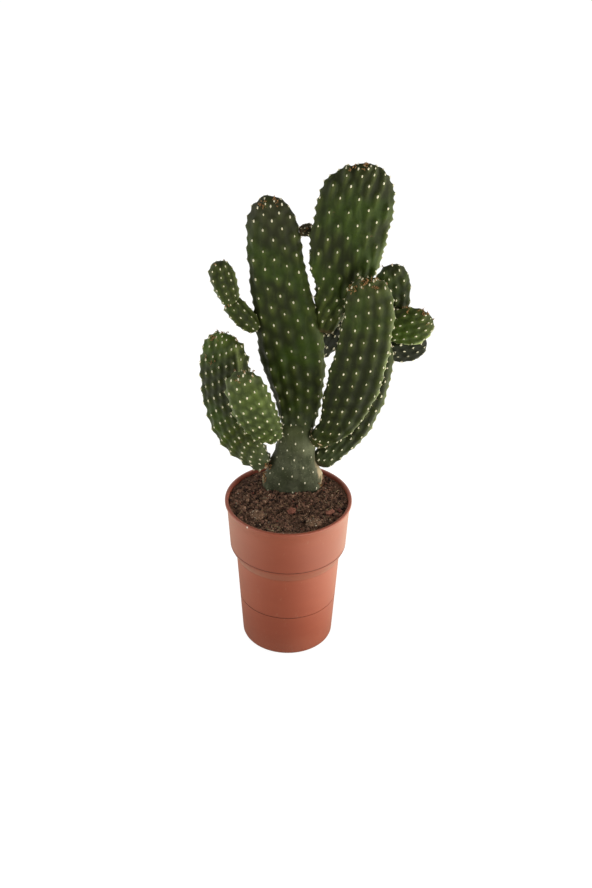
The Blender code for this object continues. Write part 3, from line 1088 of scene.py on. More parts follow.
    def _skin(self, centres: np.ndarray, axes: np.ndarray, sizes: np.ndarray,
              stretch: np.ndarray) -> bpy.types.Mesh:
        """Draw a ball out along the midline and raise its tubercles.

        Args:
            centres: The areoles' places on the plain pad.
            axes: The midline's direction at each areole.
            sizes: Each tubercle's share of its full height.
            stretch: Each tubercle's share of its full reach.

        Returns:
            The skin's mesh.
        """
        around = max(24, 4 * round(self.girth / self.step / 4))
        rings = max(16, round(self.length / self.step * 1.35))
        bm = bmesh.new()
        bmesh.ops.create_uvsphere(bm, u_segments=around, v_segments=rings, radius=1)
        mesh = new_mesh(self.name + "_skin", bm)
        ball = read_points(mesh)
        where = (1 + np.clip(ball[:, 2], -1, 1)) / 2
        round_share = np.mod(np.arctan2(ball[:, 1], ball[:, 0]) / (2 * math.pi), 1.0)
        plain = self.plain(where, round_share)
        write_points(mesh, plain * MM)
        self._face_outward(mesh)
        normals = read_normals(mesh)
        height, crest = self.raise_skin(plain, where, round_share, centres, axes, sizes, stretch)
        write_points(mesh, (plain + normals * height[:, None]) * MM)
        write_mark(mesh, "tubercle", crest)
        write_mark(mesh, "along", where)
        write_mark(mesh, "margin", self._margin(where, round_share))
        write_mark(mesh, "foot_cork", np.full(len(where), self.foot_cork))
        grey = self.grey_foot * np.clip(1 - where * self.length / self.GREY_REACH, 0, 1) ** 0.7
        write_mark(mesh, "grey_foot", grey)
        write_mark(mesh, "dark_tip", self.dark_tip * np.clip((where - 0.8) / 0.2, 0, 1))
        # Painted shade and light along the pad, with some of its own tone.
        write_mark(mesh, "tone_and_painted_light", read_profile(self.tones_and_painted_light, where))
        return mesh

    def _margin(self, where: np.ndarray, round_share: np.ndarray) -> np.ndarray:
        """How pale each point is, from 0 to 1: along the pad's two edges, the skin's own paler edge with a
        painted highlight on the side that faces the light, and along its keels, a painted highlight.
        """
        angle = np.interp(round_share, self.share_table, self.angle_table)
        edge = np.clip((np.abs(np.cos(angle)) - 0.8) / 0.2, 0, 1) ** 1.5 * np.clip((1 - where) * 2.2, 0, 1)
        edge *= np.where(np.cos(angle) > 0, self.pale_and_painted_highlight_sides[0], self.pale_and_painted_highlight_sides[1])
        for keel in self.keels:
            # Keels are painted pale as a highlight where they catch the light.
            edge = np.maximum(edge, keel.keel_painted_highlight * self._keel_height(keel, where, round_share) / keel.height)
        return edge

    @staticmethod
    def _face_outward(mesh: bpy.types.Mesh) -> None:
        """Turn a closed mesh's faces outward."""
        bm = bmesh.new()
        bm.from_mesh(mesh)
        bmesh.ops.recalc_face_normals(bm, faces=bm.faces)
        bm.to_mesh(mesh)
        bm.free()
        mesh.shade_smooth()

    def _check_fit(self, mesh: bpy.types.Mesh) -> None:
        """Log how far the fine skin reaches past the CAD segment's box.

        Args:
            mesh: The skin's mesh.
        """
        low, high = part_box(self.name)
        points = read_points(mesh)
        past = max(np.max(np.array(low) - points.min(axis=0)), np.max(points.max(axis=0) - np.array(high)))
        LOG.info("%s reaches %.1f mm past its frame box", self.name, past / MM)

    def _wool(self, seats: np.ndarray, axes: np.ndarray, out: np.ndarray, rng: np.random.Generator,
              book: FinishBook) -> None:
        """Put a small felt cushion on every areole.

        Args:
            seats: Where the areoles sit.
            axes: The midline's direction at each.
            out: The outward direction at each.
            rng: The pad's random numbers.
            book: The finishes.
        """
        places = []
        for seat, axis, away in zip(seats, axes, out):
            size = self.areole_size * float(rng.uniform(0.72, 1.08))
            normal = Vector(away)
            along = Vector(axis) - Vector(axis).dot(normal) * normal
            if along.length < 1e-3:
                along = normal.orthogonal()
            tilted = (normal + 0.25 * Vector(axis)).normalized()
            sizes = (0.78 * size * MM, 1.5 * size * MM, 0.55 * size * MM)
            places.append(frame_matrix(Vector(seat) * MM, along, tilted, sizes))
        mesh = stamp(self.name + "_areoles", ball_pattern(8, 5), places)
        put(self.name + "_areoles", mesh, book.felt)

    def _bristle(self, seats: np.ndarray, axes: np.ndarray, out: np.ndarray, rng: np.random.Generator,
                 book: FinishBook) -> None:
        """Put a tuft of fine barbed bristles on every areole.

        Args:
            seats: Where the areoles sit.
            axes: The midline's direction at each.
            out: The outward direction at each.
            rng: The pad's random numbers.
            book: The finishes.
        """
        places = []
        for seat, axis, away in zip(seats, axes, out):
            for _ in range(self.bristles):
                lean = Vector(rng.normal(0, 0.42, 3)) + 0.3 * Vector(axis)
                direction = (Vector(away) + lean).normalized()
                length = float(rng.uniform(1.1, 2.3)) * self.areole_size
                root = Vector(seat) + Vector(away) * 0.2
                across = direction.orthogonal().normalized()
                thick = 0.075 * MM
                places.append(frame_matrix(root * MM, across, direction, (thick, thick, length * MM)))
        mesh = stamp(self.name + "_bristles", spike_pattern(), places)
        put(self.name + "_bristles", mesh, book.bristle)

    def _remnants(self, seats: np.ndarray, out: np.ndarray, spots: np.ndarray, rng: np.random.Generator,
                  book: FinishBook) -> None:
        """Leave dry, curled scraps of old leaves near the tip, and in the patches that the pad names.

        Args:
            seats: Where the areoles sit.
            out: The outward direction at each.
            spots: The areoles' fractions of the length.
            rng: The pad's random numbers.
            book: The finishes.
        """
        roots: list[tuple[Vector, Vector]] = []
        order = np.argsort(-spots)[: max(self.tip_remnants * 2, 4)]
        for _ in range(self.tip_remnants):
            index = int(rng.choice(order))
            roots.append((Vector(seats[index]), Vector(out[index])))
        for scrap in self.scraps:
            along = np.clip(scrap.along + rng.normal(0, 2.2, scrap.count) / self.length, 0.02, 0.995)
            share = self.share_at(scrap.angle) + rng.normal(0, 3.0, scrap.count) / self.girth
            away = self.outward(along, share)
            for root, direction in zip(self.plain(along, share), away):
                roots.append((Vector(root) + Vector(direction) * 0.6, Vector(direction)))
        places = []
        for root, away in roots:
            for _ in range(3):
                direction = (away + Vector(rng.normal(0, 0.75, 3))).normalized()
                length = float(rng.uniform(1.2, 3.2))
                sizes = (float(rng.uniform(0.35, 0.8)) * MM, 0.28 * MM, length * MM)
                start = root + Vector(rng.normal(0, 0.5, 3))
                places.append(frame_matrix(start * MM, direction.orthogonal(), direction, sizes))
        mesh = stamp(self.name + "_remnants", spike_pattern(5), places)
        put(self.name + "_remnants", mesh, book.remnant)

    def _collar(self, rng: np.random.Generator, book: FinishBook) -> None:
        """Put a rough corky scab round the foot, where the pad grows from its parent.

        Args:
            rng: The pad's random numbers.
            book: The finishes.
        """
        station = int(self.STATIONS * 0.045)
        bm = bmesh.new()
        bmesh.ops.create_icosphere(bm, subdivisions=4, radius=1)
        axes = (self.across[station], self.facing[station], self.along[station])
        place = Matrix(axes).transposed().to_4x4()
        wide, deep = float(self.wide[station]) * 1.05 + 0.9, float(self.deep[station]) * 1.05 + 0.9
        for vertex in bm.verts:
            x, y, z = vertex.co
            lump = 1 + 0.10 * math.sin(9 * x + 5 * z) * math.cos(11 * y) + 0.025 * float(rng.normal())
            vertex.co = Vector((x * wide * lump, y * deep * lump, z * 2.8))
        bmesh.ops.transform(bm, verts=bm.verts, matrix=place)
        bmesh.ops.translate(bm, verts=bm.verts, vec=self.centre[station])
        bmesh.ops.scale(bm, verts=bm.verts, vec=(MM, MM, MM))
        put(self.name + "_cork", new_mesh(self.name + "_cork", bm), book.cork)


def plant() -> list[Pad]:
    """Every segment of the plant, from the foot up.

    Returns:
        The pads.
    """
    return [
        Pad("stem_base",
            ((1, 26, 112), (3, 26, 146), (4.5, 25, 176), (7, 24, 202), (7.5, 24, 230)),
            ((0, 24), (0.229, 27), (0.476, 26.3), (0.641, 20), (0.778, 17.4), (0.915, 15.6), (1, 15)),
            ((0, 15), (0.5, 14), (0.8, 12), (1, 11)),
            turn=(4, -8), round_off=(14, 8), age=Age.OLD, slot="old_skin",
            lattice=Lattice(12, 7, 19, 8, 8, start=0.2),
            relief=Relief(0.8, 4, 7, 4, 0.2, 0.9),
            areole_size=0.9, bristles=2, pale_and_painted_highlight_sides=(0.6, 1.0),
            scraps=(Scrap(0.44, 8, 9), Scrap(0.55, 14, 6), Scrap(0.4, 172, 5))),
        Pad("main_pad",
            ((7.5, 24, 202), (8, 24, 249), (2, 22, 303), (-12, 20, 386), (-18, 18, 458)),
            ((0, 12.5), (0.047, 14.2), (0.161, 20.5), (0.38, 30), (0.628, 27), (0.809, 24.5), (1, 23)),
            ((0, 9), (0.33, 10.5), (0.81, 8.5), (1, 7.5)),
            turn=(-8, -14), round_off=(8, 36), age=Age.GROWN,
            lattice=Lattice(12, 7, 18.6, 9, 6, start=0.35, tip_reach=48, first_column=0.25, edge_pitch=10.5),
            relief=Relief(2.1, 3.2, 8.0, 3.4, 0.25, 0.7),
            keels=(Keel(152, 0.7, 2.2, 0.2, 0.5, 0.3),),
            scraps=(Scrap(0.985, 70, 8), Scrap(0.99, 120, 6)),
            pale_and_painted_highlight_sides=(0.1, 0.25), foot_cork=0.0, grey_foot=1.0, dark_tip=0.8,
            tones_and_painted_light=((0, 0.9), (0.4, 0.95), (0.6, 0.95), (1, 0.74))),
        Pad("upper_right_pad",
            ((30, 20, 324), (36, 18, 347), (45, 15, 377), (49, 12, 413), (54, 10, 445), (64, 8, 495)),
            ((0, 9), (0.14, 14), (0.27, 21.5), (0.4, 29), (0.56, 32.5), (0.78, 32), (1, 31)),
            ((0, 7), (0.4, 9), (0.8, 8), (1, 7)),
            turn=(0, 0), round_off=(8, 36), age=Age.GROWN,
            lattice=Lattice(17, 10, 25, 9, 7, start=0.1, tip_reach=55, first_column=0.4, twist=-0.2,
                            edge_pitch=8.5),
            relief=Relief(2.8, 3.0, 14, 2.3, 0.1, 0.8),
            dents=(Dent(0.985, 12, 2.6, 7), Dent(0.94, 6, 1.2, 8)),
            scraps=(Scrap(0.992, 85, 9), Scrap(0.97, 50, 4)),
            pale_and_painted_highlight_sides=(0.1, 0.35), tones_and_painted_light=((0, 1.15), (0.4, 0.97), (1, 0.93))),
        Pad("front_right_pad",
            ((23, 14, 208), (42, 6, 233), (54, -2, 270), (64, -9, 317), (69, -12, 354), (69, -14, 397)),
            ((0, 7), (0.15, 14), (0.3, 21), (0.45, 23.5), (0.6, 23), (0.8, 21.5), (1, 20)),
            ((0, 6), (0.4, 8.5), (0.8, 8), (1, 7)),
            turn=(-8, -8), round_off=(8, 26), age=Age.GROWN,
            lattice=Lattice(10, 3, 16, 7, 6, start=0.3, tip_reach=34, first_column=0.5, edge_pitch=8.5),
            relief=Relief(2.0, 3.2, 9, 3.1, 0.15, 0.8),
            keels=(Keel(166, 0.5, 1.8, 0.12, 0.55, 1.0),),
            tip_remnants=6, scraps=(Scrap(0.985, 75, 12), Scrap(0.99, 110, 10), Scrap(0.95, 30, 9)),
            pale_and_painted_highlight_sides=(0.1, 1.0), cork_collar=True, tones_and_painted_light=((0, 0.55), (0.35, 0.6), (0.7, 0.82), (1, 0.98))),
        Pad("rear_right_pad",
            ((27, 25, 177), (43, 29, 195), (58, 33, 220), (69, 38, 248), (75, 42, 277), (79, 46, 309)),
            ((0, 8), (0.15, 13), (0.3, 17.5), (0.5, 20), (0.8, 20), (1, 18)),
            ((0, 6), (0.4, 8.5), (0.8, 8), (1, 7)),
            turn=(-10, -10), round_off=(8, 24), age=Age.GROWN,
            lattice=Lattice(12, 5, 14, 6, 7, start=0.6, edge_pitch=8),
            relief=Relief(1.9, 3.0, 6, 3.2, 0.3, 0.5),
            pale_and_painted_highlight_sides=(0.1, 0.8), grey_foot=0.4, tones_and_painted_light=((0, 0.6), (1, 0.55))),
        Pad("outer_young_pad",
            ((87, 42, 312), (100, 38, 318), (115, 34, 325), (129, 32, 332)),
            ((0, 10), (0.4, 18.5), (0.75, 18.5), (1, 16)),
            ((0, 6), (0.4, 7), (1, 6)),
            turn=(0, 0), round_off=(8, 22), age=Age.GROWN, slot="young_skin",
            lattice=Lattice(12, 5, 11, 6, 5, start=0.5),
            relief=Relief(1.6, 2.4, 4, 2.6, 0.2, 0.4),
            keels=(Keel(160, 0.5, 1.6, 0.1, 0.97, 1.0),),
            areole_size=0.85, tip_remnants=6, scraps=(Scrap(0.9, 20, 8), Scrap(0.6, 5, 6)),
            pale_and_painted_highlight_sides=(0.1, 1.0), tones_and_painted_light=((0, 1.1), (0.6, 1.35), (1, 1.2))),
        Pad("under_young_pad",
            ((88, 48, 289), (106, 53, 287), (127, 57, 294)),
            ((0, 9), (0.5, 12), (1, 11)),
            ((0, 5.5), (0.4, 6.5), (1, 6)),
            turn=(0, 0), round_off=(8, 16), age=Age.GROWN,
            lattice=Lattice(10, 4, 10, 6, 5),
            relief=Relief(1.5, 2.4, 4, 2.6, 0.2, 0.4),
            areole_size=0.8, tones_and_painted_light=((0, 0.18), (1, 0.18))),
        Pad("upper_young_pad",
            ((88, 48, 305), (92, 51, 329), (93, 53, 355), (91, 53, 376)),
            ((0, 8), (0.5, 16), (0.8, 15.5), (1, 14)),
            ((0, 6), (0.4, 7), (1, 6)),
            turn=(10, 10), round_off=(8, 20), age=Age.GROWN, slot="young_skin",
            lattice=Lattice(11, 4, 12.5, 6, 6, start=0.3),
            relief=Relief(1.7, 2.6, 5, 2.8, 0.2, 0.4),
            areole_size=0.85, tip_remnants=4, tones_and_painted_light=((0, 0.6), (1, 0.75))),
        Pad("back_pad",
            ((22, 27, 296), (36, 46, 307), (50, 60, 330), (61, 68, 350)),
            ((0, 8), (0.3, 15), (0.6, 18), (1, 16)),
            ((0, 6), (0.4, 8), (1, 7)),
            turn=(10, 10), round_off=(8, 22), age=Age.GROWN,
            lattice=Lattice(11, 4, 14, 6, 6),
            relief=Relief(1.6, 3, 5, 3, 0.2, 0.5),
            tones_and_painted_light=((0, 0.25), (1, 0.25))),
        Pad("left_arm_lower_pad",
            ((-29, 22, 325), (-37, 21, 333), (-45, 20, 343), (-55, 20, 356)),
            ((0, 7), (0.4, 9.5), (0.8, 9), (1, 8)),
            ((0, 5.5), (0.4, 7), (1, 6)),
            turn=(0, 0), round_off=(8, 8), age=Age.GROWN,
            lattice=Lattice(8, 3, 9, 5, 6),
            relief=Relief(1.5, 2.2, 4, 2.5, 0.2, 0.3),
            areole_size=0.8),
        Pad("left_arm_upper_pad",
            ((-52, 20, 351), (-57, 19, 368), (-61, 18, 382), (-62, 17, 395)),
            ((0, 6.5), (0.4, 10), (0.7, 11), (1, 10)),
            ((0, 5), (0.4, 7), (1, 6)),
            turn=(0, 0), round_off=(6, 12), age=Age.GROWN, slot="young_skin",
            lattice=Lattice(8, 3, 8.5, 5, 5, start=0.4),
            relief=Relief(1.5, 2.2, 4, 2.5, 0.2, 0.3),
            areole_size=0.8, tip_remnants=2, scraps=(Scrap(0.04, 60, 5),)),
        Pad("lower_left_pad",
            ((-21, 24, 176), (-35, 22, 191), (-48, 20, 215), (-56, 18, 248), (-59, 17, 284), (-57, 16, 322)),
            ((0, 8), (0.16, 16), (0.32, 22.5), (0.55, 25.5), (0.8, 25), (1, 21)),
            ((0, 7), (0.4, 9.5), (0.8, 9), (1, 7)),
            turn=(-20, -32), round_off=(8, 22), age=Age.GROWN,
            lattice=Lattice(16, 6, 13.5, 6, 6, start=0.2, edge_pitch=8),
            relief=Relief(2.6, 2.8, 5.5, 2.9, 0.2, 0.7),
            keels=(Keel(140, 1.6, 2.4, 0.55, 0.98, 0.9),),
            tip_remnants=7, scraps=(Scrap(0.97, 50, 7), Scrap(0.82, 75, 4), Scrap(0.03, 120, 8)),
            pale_and_painted_highlight_sides=(0.5, 0.2), grey_foot=0.8, dark_tip=0.0,
            tones_and_painted_light=((0, 1.1), (0.3, 1.15), (0.6, 0.66), (0.8, 0.9), (1, 1.45))),
        Pad("front_left_pad",
            ((-13, 12, 214), (-24, -5, 238), (-33, -17, 266), (-38, -22, 285), (-41, -25, 307)),
            ((0, 7), (0.25, 16), (0.5, 19), (0.75, 18.5), (1, 17)),
            ((0, 6), (0.4, 8), (1, 7)),
            turn=(-5, -10), round_off=(8, 18), age=Age.YOUNG, slot="young_skin",
            lattice=Lattice(11, 4, 13, 6, 5, start=0.7),
            relief=Relief(2.4, 2.6, 4.6, 2.9, 0.2, 0.4),
            tip_remnants=5, scraps=(Scrap(0.95, 75, 7),), pale_and_painted_highlight_sides=(0.1, 0.1),
            tones_and_painted_light=((0, 0.7), (0.3, 0.85), (0.6, 1.08), (1, 1.0))),
        Pad("bud",
            ((7, 21, 424), (14, 21, 425), (21, 21, 427)),
            ((0, 4), (0.6, 5.5), (1, 5)),
            ((0, 4), (0.6, 5), (1, 5)),
            turn=(0, 0), round_off=(3, 6), age=Age.BUDDING, slot="young_skin",
            lattice=Lattice(8, 3, 4.2, 3, 3),
            relief=Relief(0.9, 1.2, 1.6, 1.2, 0.1, 0.1),
            areole_size=0.45, step=0.6, scraps=(Scrap(0.8, 60, 3), Scrap(0.5, 120, 3))),
    ]


# ----------------------------------------------------------------------------------------------------
# Pot and soil
# ----------------------------------------------------------------------------------------------------


def turn_profile(name: str, profile: Sequence[tuple[float, float]], steps: int) -> bpy.types.Mesh:
    """Turn a profile of (radius, height) that starts and ends on the axis into a closed solid.

    Args:
        name: The mesh's name.
        profile: The corners, in millimetres.
        steps: How many steps there are round the axis.

    Returns:
        The mesh.
    """
    bm = bmesh.new()
    corners = [bm.verts.new((radius * MM, 0, height * MM)) for radius, height in profile]
    edges = [bm.edges.new(pair) for pair in zip(corners, corners[1:])]
    bmesh.ops.spin(bm, geom=corners + edges, axis=(0, 0, 1), cent=(0, 0, 0), steps=steps, angle=2 * math.pi,
                   use_merge=True)
    bmesh.ops.remove_doubles(bm, verts=bm.verts, dist=1e-6)
    bmesh.ops.recalc_face_normals(bm, faces=bm.faces)
    return new_mesh(name, bm)


@dataclass
class Pot:
    """A thin moulded nursery pot: thin lip, wide band with a fine line near its foot, step, grooved body."""

    lip_height: float = 3.0
    band_top_radius: float = 58.2
    band_foot_radius: float = 55.2
    band_foot_height: float = 105.5
    line_height: float = 107.0
    line_depth: float = 0.45
    step_curve: float = 1.1
    body_top_radius: float = 49.4
    body_top_height: float = 94.0
    groove_radius: float = 46.3
    groove_height: float = 47.0
    groove_depth: float = 0.5
    body_foot_radius: float = 43.4
    base_corner: float = 4.0
    wall: float = 1.3
    floor: float = 1.8
    drains: int = 6
    drain_radius: float = 3.5
    drain_circle: float = 26.0
    steps: int = 160

    def __post_init__(self) -> None:
        """Read the lip's radius and height from the frame."""
        _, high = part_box("pot")
        self.lip_radius = high.x / MM
        self.height = high.z / MM

    def inner_radius(self, height: float) -> float:
        """The radius of the inside at a height."""
        heights = [self.floor, self.floor + self.base_corner, self.groove_height, self.body_top_height,
                   self.band_foot_height + 2, self.height]
        radii = [self.body_foot_radius - 1, self.body_foot_radius, self.groove_radius, self.body_top_radius,
                 self.band_foot_radius, self.band_top_radius]
        return float(np.interp(height, heights, radii)) - self.wall

    @staticmethod
    def _between(start: tuple[float, float], end: tuple[float, float], shares: Iterable[float],
                 curve: float = 1.0) -> list[tuple[float, float]]:
        """Corners on the way from one corner to another.

        Args:
            start: The first radius and height.
            end: The last radius and height.
            shares: How far along the way each corner is.
            curve: The power by which the radius lags behind the height.

        Returns:
            The corners.
        """
        return [(start[0] + (end[0] - start[0]) * share**curve, start[1] + (end[1] - start[1]) * share)
                for share in shares]

    def _outside(self) -> list[tuple[float, float]]:
        """The outer profile, from the lip's top down to the base."""
        lip, top, under = self.lip_radius, self.height, self.height - self.lip_height
        band_top = (self.band_top_radius, under - 0.6)
        band_foot = (self.band_foot_radius, self.band_foot_height)
        body_top = (self.body_top_radius, self.body_top_height)
        groove, foot = (self.groove_radius, self.groove_height), (self.body_foot_radius, self.base_corner)
        profile = [(lip - 1.6, top), (lip - 0.7, top - 0.1), (lip - 0.15, top - 0.5), (lip, top - 1.1),
                   (lip, under + 0.5), (lip - 0.3, under), (band_top[0] + 0.4, under - 0.2)]
        line = (self.line_height - band_top[1]) / (band_foot[1] - band_top[1])
        (line_radius, _), = self._between(band_top, band_foot, (line,))
        profile += self._between(band_top, band_foot, (0, 0.2, 0.4, 0.6, 0.8, line - 0.006))
        profile += [(line_radius - self.line_depth, self.line_height + 0.1),
                    (line_radius - self.line_depth, self.line_height - 0.3)]
        profile += self._between(band_top, band_foot, (line + 0.012, 0.99))
        profile += self._between(band_foot, body_top, np.linspace(0, 1, 15), self.step_curve)
        profile += self._between(body_top, groove, (0.012, 0.1, 0.3, 0.5, 0.7, 0.9, 0.991))
        profile += [(groove[0] - self.groove_depth, groove[1] + 0.2),
                    (groove[0] - self.groove_depth, groove[1] - 0.25)]
        profile += self._between(groove, foot, (0.008, 0.1, 0.3, 0.5, 0.7, 0.9, 1))
        for degrees in range(15, 91, 15):
            angle = math.radians(degrees)
            profile.append((self.body_foot_radius - self.base_corner * (1 - math.cos(angle)),
                            self.base_corner * (1 - math.sin(angle))))
        return profile

    def _inside(self) -> list[tuple[float, float]]:
        """The inner profile, from the middle of the floor up to the lip."""
        profile = [(0, self.floor), (self.inner_radius(self.floor) - 1, self.floor)]
        for height in np.linspace(self.floor + 1.5, self.height - 1, 24):
            profile.append((self.inner_radius(height), float(height)))
        profile += [(self.inner_radius(self.height) + 0.3, self.height - 0.3),
                    (self.inner_radius(self.height) + 0.9, self.height)]
        return profile

    def build(self, book: FinishBook) -> None:
        """Make the pot, drain its floor, and put it in place of the CAD pot.

        Args:
            book: The finishes.
        """
        shell = turn_profile("pot_shell", self._inside() + self._outside() + [(0, 0)], self.steps)
        piece = put("pot_shell", self._drained(shell), book.plastic)
        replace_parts(piece, "pot")

    def _drained(self, shell: bpy.types.Mesh) -> bpy.types.Mesh:
        """Cut the drainage holes.

        Args:
            shell: The undrained pot.

        Returns:
            The pot with its holes.
        """
        bm = bmesh.new()
        for index in range(self.drains):
            angle = 2 * math.pi * index / self.drains
            place = Matrix.Translation(Vector((math.cos(angle), math.sin(angle), 0)) * self.drain_circle * MM)
            bmesh.ops.create_cone(bm, cap_ends=True, segments=32, radius1=self.drain_radius * MM,
                                  radius2=self.drain_radius * MM, depth=4 * self.floor * MM, matrix=place)
        drill = bpy.data.objects.new("drill", new_mesh("drill", bm))
        block = bpy.data.objects.new("undrained", shell)
        for thing in (drill, block):
            bpy.context.scene.collection.objects.link(thing)
        boolean = block.modifiers.new("drains", "BOOLEAN")
        boolean.operation = "DIFFERENCE"
        boolean.solver = "EXACT"
        boolean.object = drill
        cut = bpy.data.meshes.new_from_object(block.evaluated_get(bpy.context.evaluated_depsgraph_get()))
        for thing in (drill, block):
            bpy.data.objects.remove(thing, do_unlink=True)
        cut.name = "pot_shell_drained"
        cut.shade_smooth()
        cut.set_sharp_from_angle(angle=math.radians(42))
        return cut


@dataclass(frozen=True)
class Litter:
    """One kind of loose matter on the soil: how much, its usual size, the spread and limit of its sizes, its
    flatness, and its colours with their odds."""

    name: str
    count: int
    size: float
    spread: float
    largest: float
    flatness: float
    colours: tuple[Colour, ...]
    odds: tuple[float, ...]


@dataclass(frozen=True)
class Chip:
    """A chip of bark or a dried clod in the soil: place, length, width, turn in degrees, and colour."""

    node: str
    place: tuple[float, float]
    length: float
    width: float
    turn: float
    colour: Colour
    crumbly: bool


CRUMB_COLOURS = ((0.042, 0.022, 0.015), (0.15, 0.077, 0.050), (0.24, 0.125, 0.082), (0.30, 0.18, 0.115),
                 (0.34, 0.23, 0.15), (0.42, 0.35, 0.26), (0.24, 0.075, 0.05))
CRUMB_ODDS = (0.26, 0.28, 0.24, 0.13, 0.04, 0.01, 0.04)
CLOD_COLOURS, CLOD_ODDS = CRUMB_COLOURS[:6], (0.1, 0.15, 0.2, 0.25, 0.25, 0.05)
STRAW_COLOURS = ((0.36, 0.26, 0.13), (0.22, 0.13, 0.06), (0.10, 0.05, 0.03), (0.50, 0.42, 0.26))
STRAW_ODDS = (0.35, 0.3, 0.25, 0.1)
LITTER = (
    Litter("soil_crumbs", 3400, 0.62, 0.42, 2.2, 0.65, CRUMB_COLOURS, CRUMB_ODDS),
    Litter("soil_clods", 460, 1.45, 0.35, 3.4, 0.7, CRUMB_COLOURS[:4], (0.25, 0.35, 0.25, 0.15)),
    Litter("soil_flakes", 70, 1.15, 0.28, 2.0, 0.18, CRUMB_COLOURS[3:6], (0.4, 0.4, 0.2)),
)
CHIPS = (
    Chip("bark_chip_front", (3, -20), 8, 6, 60, (0.23, 0.085, 0.055), False),
    Chip("bark_chip_right", (39.5, -21.5), 8, 5, 25, (0.25, 0.10, 0.065), False),
    Chip("bark_chip_far_right", (48, -18), 5, 3.5, 110, (0.10, 0.03, 0.02), False),
    Chip("bark_chip_left", (-29, -28), 12, 9, -35, (0.18, 0.105, 0.062), True),
    Chip("bark_chip_lump", (24, -40), 12, 9, 10, (0.17, 0.10, 0.058), True),
)


@dataclass
class Soil:
    """Potting mix: a rough-topped body, with crumbs, clods, flakes, straw and bark lying on it."""

    pot: Pot
    edge_height: float = 152.0
    crown: float = 0.4
    gap: float = 0.4
    straws: int = 260
    rings: int = 90
    around: int = 220
    seed: int = 11

    CLOD_CRUMBS = 110          # crumbs on a dried clod
    STEM_CLEAR = (27.0, 13.5)  # half sizes of the patch round the stem that nothing lies on

    def __post_init__(self) -> None:
        """Work out the surface's radius, and start the random numbers."""
        self.radius = self.pot.inner_radius(self.edge_height) - self.gap
        self.rng = np.random.default_rng(self.seed)
        low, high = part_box("stem_base")
        self.stem = ((low.x + high.x) / 2 / MM, (low.y + high.y) / 2 / MM)

    def level(self, x: np.ndarray, y: np.ndarray) -> np.ndarray:
        """The surface's height, rough and slightly heaped round the stem.

        Args:
            x: Places along X.
            y: Places along Y.

        Returns:
            Heights in millimetres.
        """
        out = np.hypot(x, y) / self.radius
        rough = (np.sin(0.31 * x + 1.1) * np.sin(0.27 * y + 0.4) + 0.6 * np.sin(0.83 * x - 0.6 * y)
                 + 0.45 * np.sin(1.7 * x + 1.1 * y + 2) + 0.35 * np.sin(-1.3 * x + 2.1 * y)
                 + 0.25 * np.sin(3.1 * x + 0.7 * y + 1) * np.sin(2.7 * y - 0.5))
        heap = 1.6 * np.exp(-(((x - self.stem[0]) / 34) ** 2 + ((y - self.stem[1]) / 22) ** 2))
        return self.edge_height + self.crown * (1 - out**2) + 1.0 * rough * (1 - 0.6 * out**6) + heap - 0.6

    def build(self, book: FinishBook) -> None:
        """Make the soil and everything that lies on it.

        Args:
            book: The finishes.
        """
        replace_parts(put("soil_body", self._body(), book.mix), "soil")
        for litter in LITTER:
            self._strew(litter, book)
        self._straws(book)
        for chip in CHIPS:
            self._chip(chip, book)

    def _body(self) -> bpy.types.Mesh:
        """The soil as one closed solid, with a rough top."""
        heights = [self.pot.floor + self.gap, self.pot.floor + self.pot.base_corner, self.pot.groove_height,
                   self.pot.body_top_height, self.pot.band_foot_height + 2, self.edge_height]
        side = [(self.pot.inner_radius(height) - self.gap - 0.1, height) for height in heights]
        top = [(self.radius * share, self.edge_height) for share in np.linspace(1, 0, self.rings)]
        profile = [(0, heights[0])] + side[:-1] + [(radius, height) for radius, height in top]
        mesh = turn_profile("soil_body", profile, self.around)
        points = read_points(mesh) / MM
        on_top = points[:, 2] > self.edge_height - 0.5
        points[on_top, 2] = self.level(points[on_top, 0], points[on_top, 1])
        write_points(mesh, points * MM)
        return mesh

    def _scatter(self, count: int, reach: float = 1.0) -> tuple[np.ndarray, np.ndarray]:
        """Random places on the soil, clear of the stem.

        Args:
            count: How many to draw.
            reach: The share of the radius that they cover.

        Returns:
            Places along X and along Y.
        """
        radius = self.radius * reach * np.sqrt(self.rng.uniform(0, 1, count))
        angle = self.rng.uniform(0, 2 * math.pi, count)
        x, y = radius * np.cos(angle), radius * np.sin(angle)
        wide, deep = self.STEM_CLEAR
        clear = ((x - self.stem[0]) / wide) ** 2 + ((y - self.stem[1]) / deep) ** 2 > 1
        return x[clear], y[clear]

    def _strew(self, litter: Litter, book: FinishBook) -> None:
        """Scatter one kind of loose matter.

        Args:
            litter: The kind.
            book: The finishes.
        """
        x, y = self._scatter(litter.count, 0.985)
        picks = self.rng.choice(len(litter.colours), len(x), p=litter.odds)
        sizes = np.minimum(litter.size * np.exp(self.rng.normal(0, litter.spread, len(x))), litter.largest)
        places = []
        for px, py, size in zip(x, y, sizes):
            z = float(self.level(np.array([px]), np.array([py]))[0]) + 0.2 * size
            loose = Vector(self.rng.normal(0, 1, 3) * (1, 1, 0.35)).normalized()
            turn = Matrix.Rotation(float(self.rng.uniform(0, 6.28)), 4, "Z") @ Matrix.Rotation(
                float(self.rng.normal(0, 1.3 * litter.flatness + 0.25)), 4, loose)
            shape = Matrix.Diagonal((size * MM, size * float(self.rng.uniform(0.55, 1)) * MM,
                                     size * float(self.rng.uniform(0.7, 1.2)) * litter.flatness * MM, 1))
            places.append(Matrix.Translation(Vector((px, py, z)) * MM) @ turn @ shape)
        damp = 0.92 + 0.42 * np.sin(0.34 * x + 0.9 * np.sin(0.23 * y)) * np.sin(0.37 * y + 1.3 + 0.1 * x)
        colours = np.array(litter.colours)[picks] * damp[:, None]
        mesh = stamp(litter.name, pebble_pattern(self.rng), places, colours)
        put(litter.name, mesh, book.crumbs)

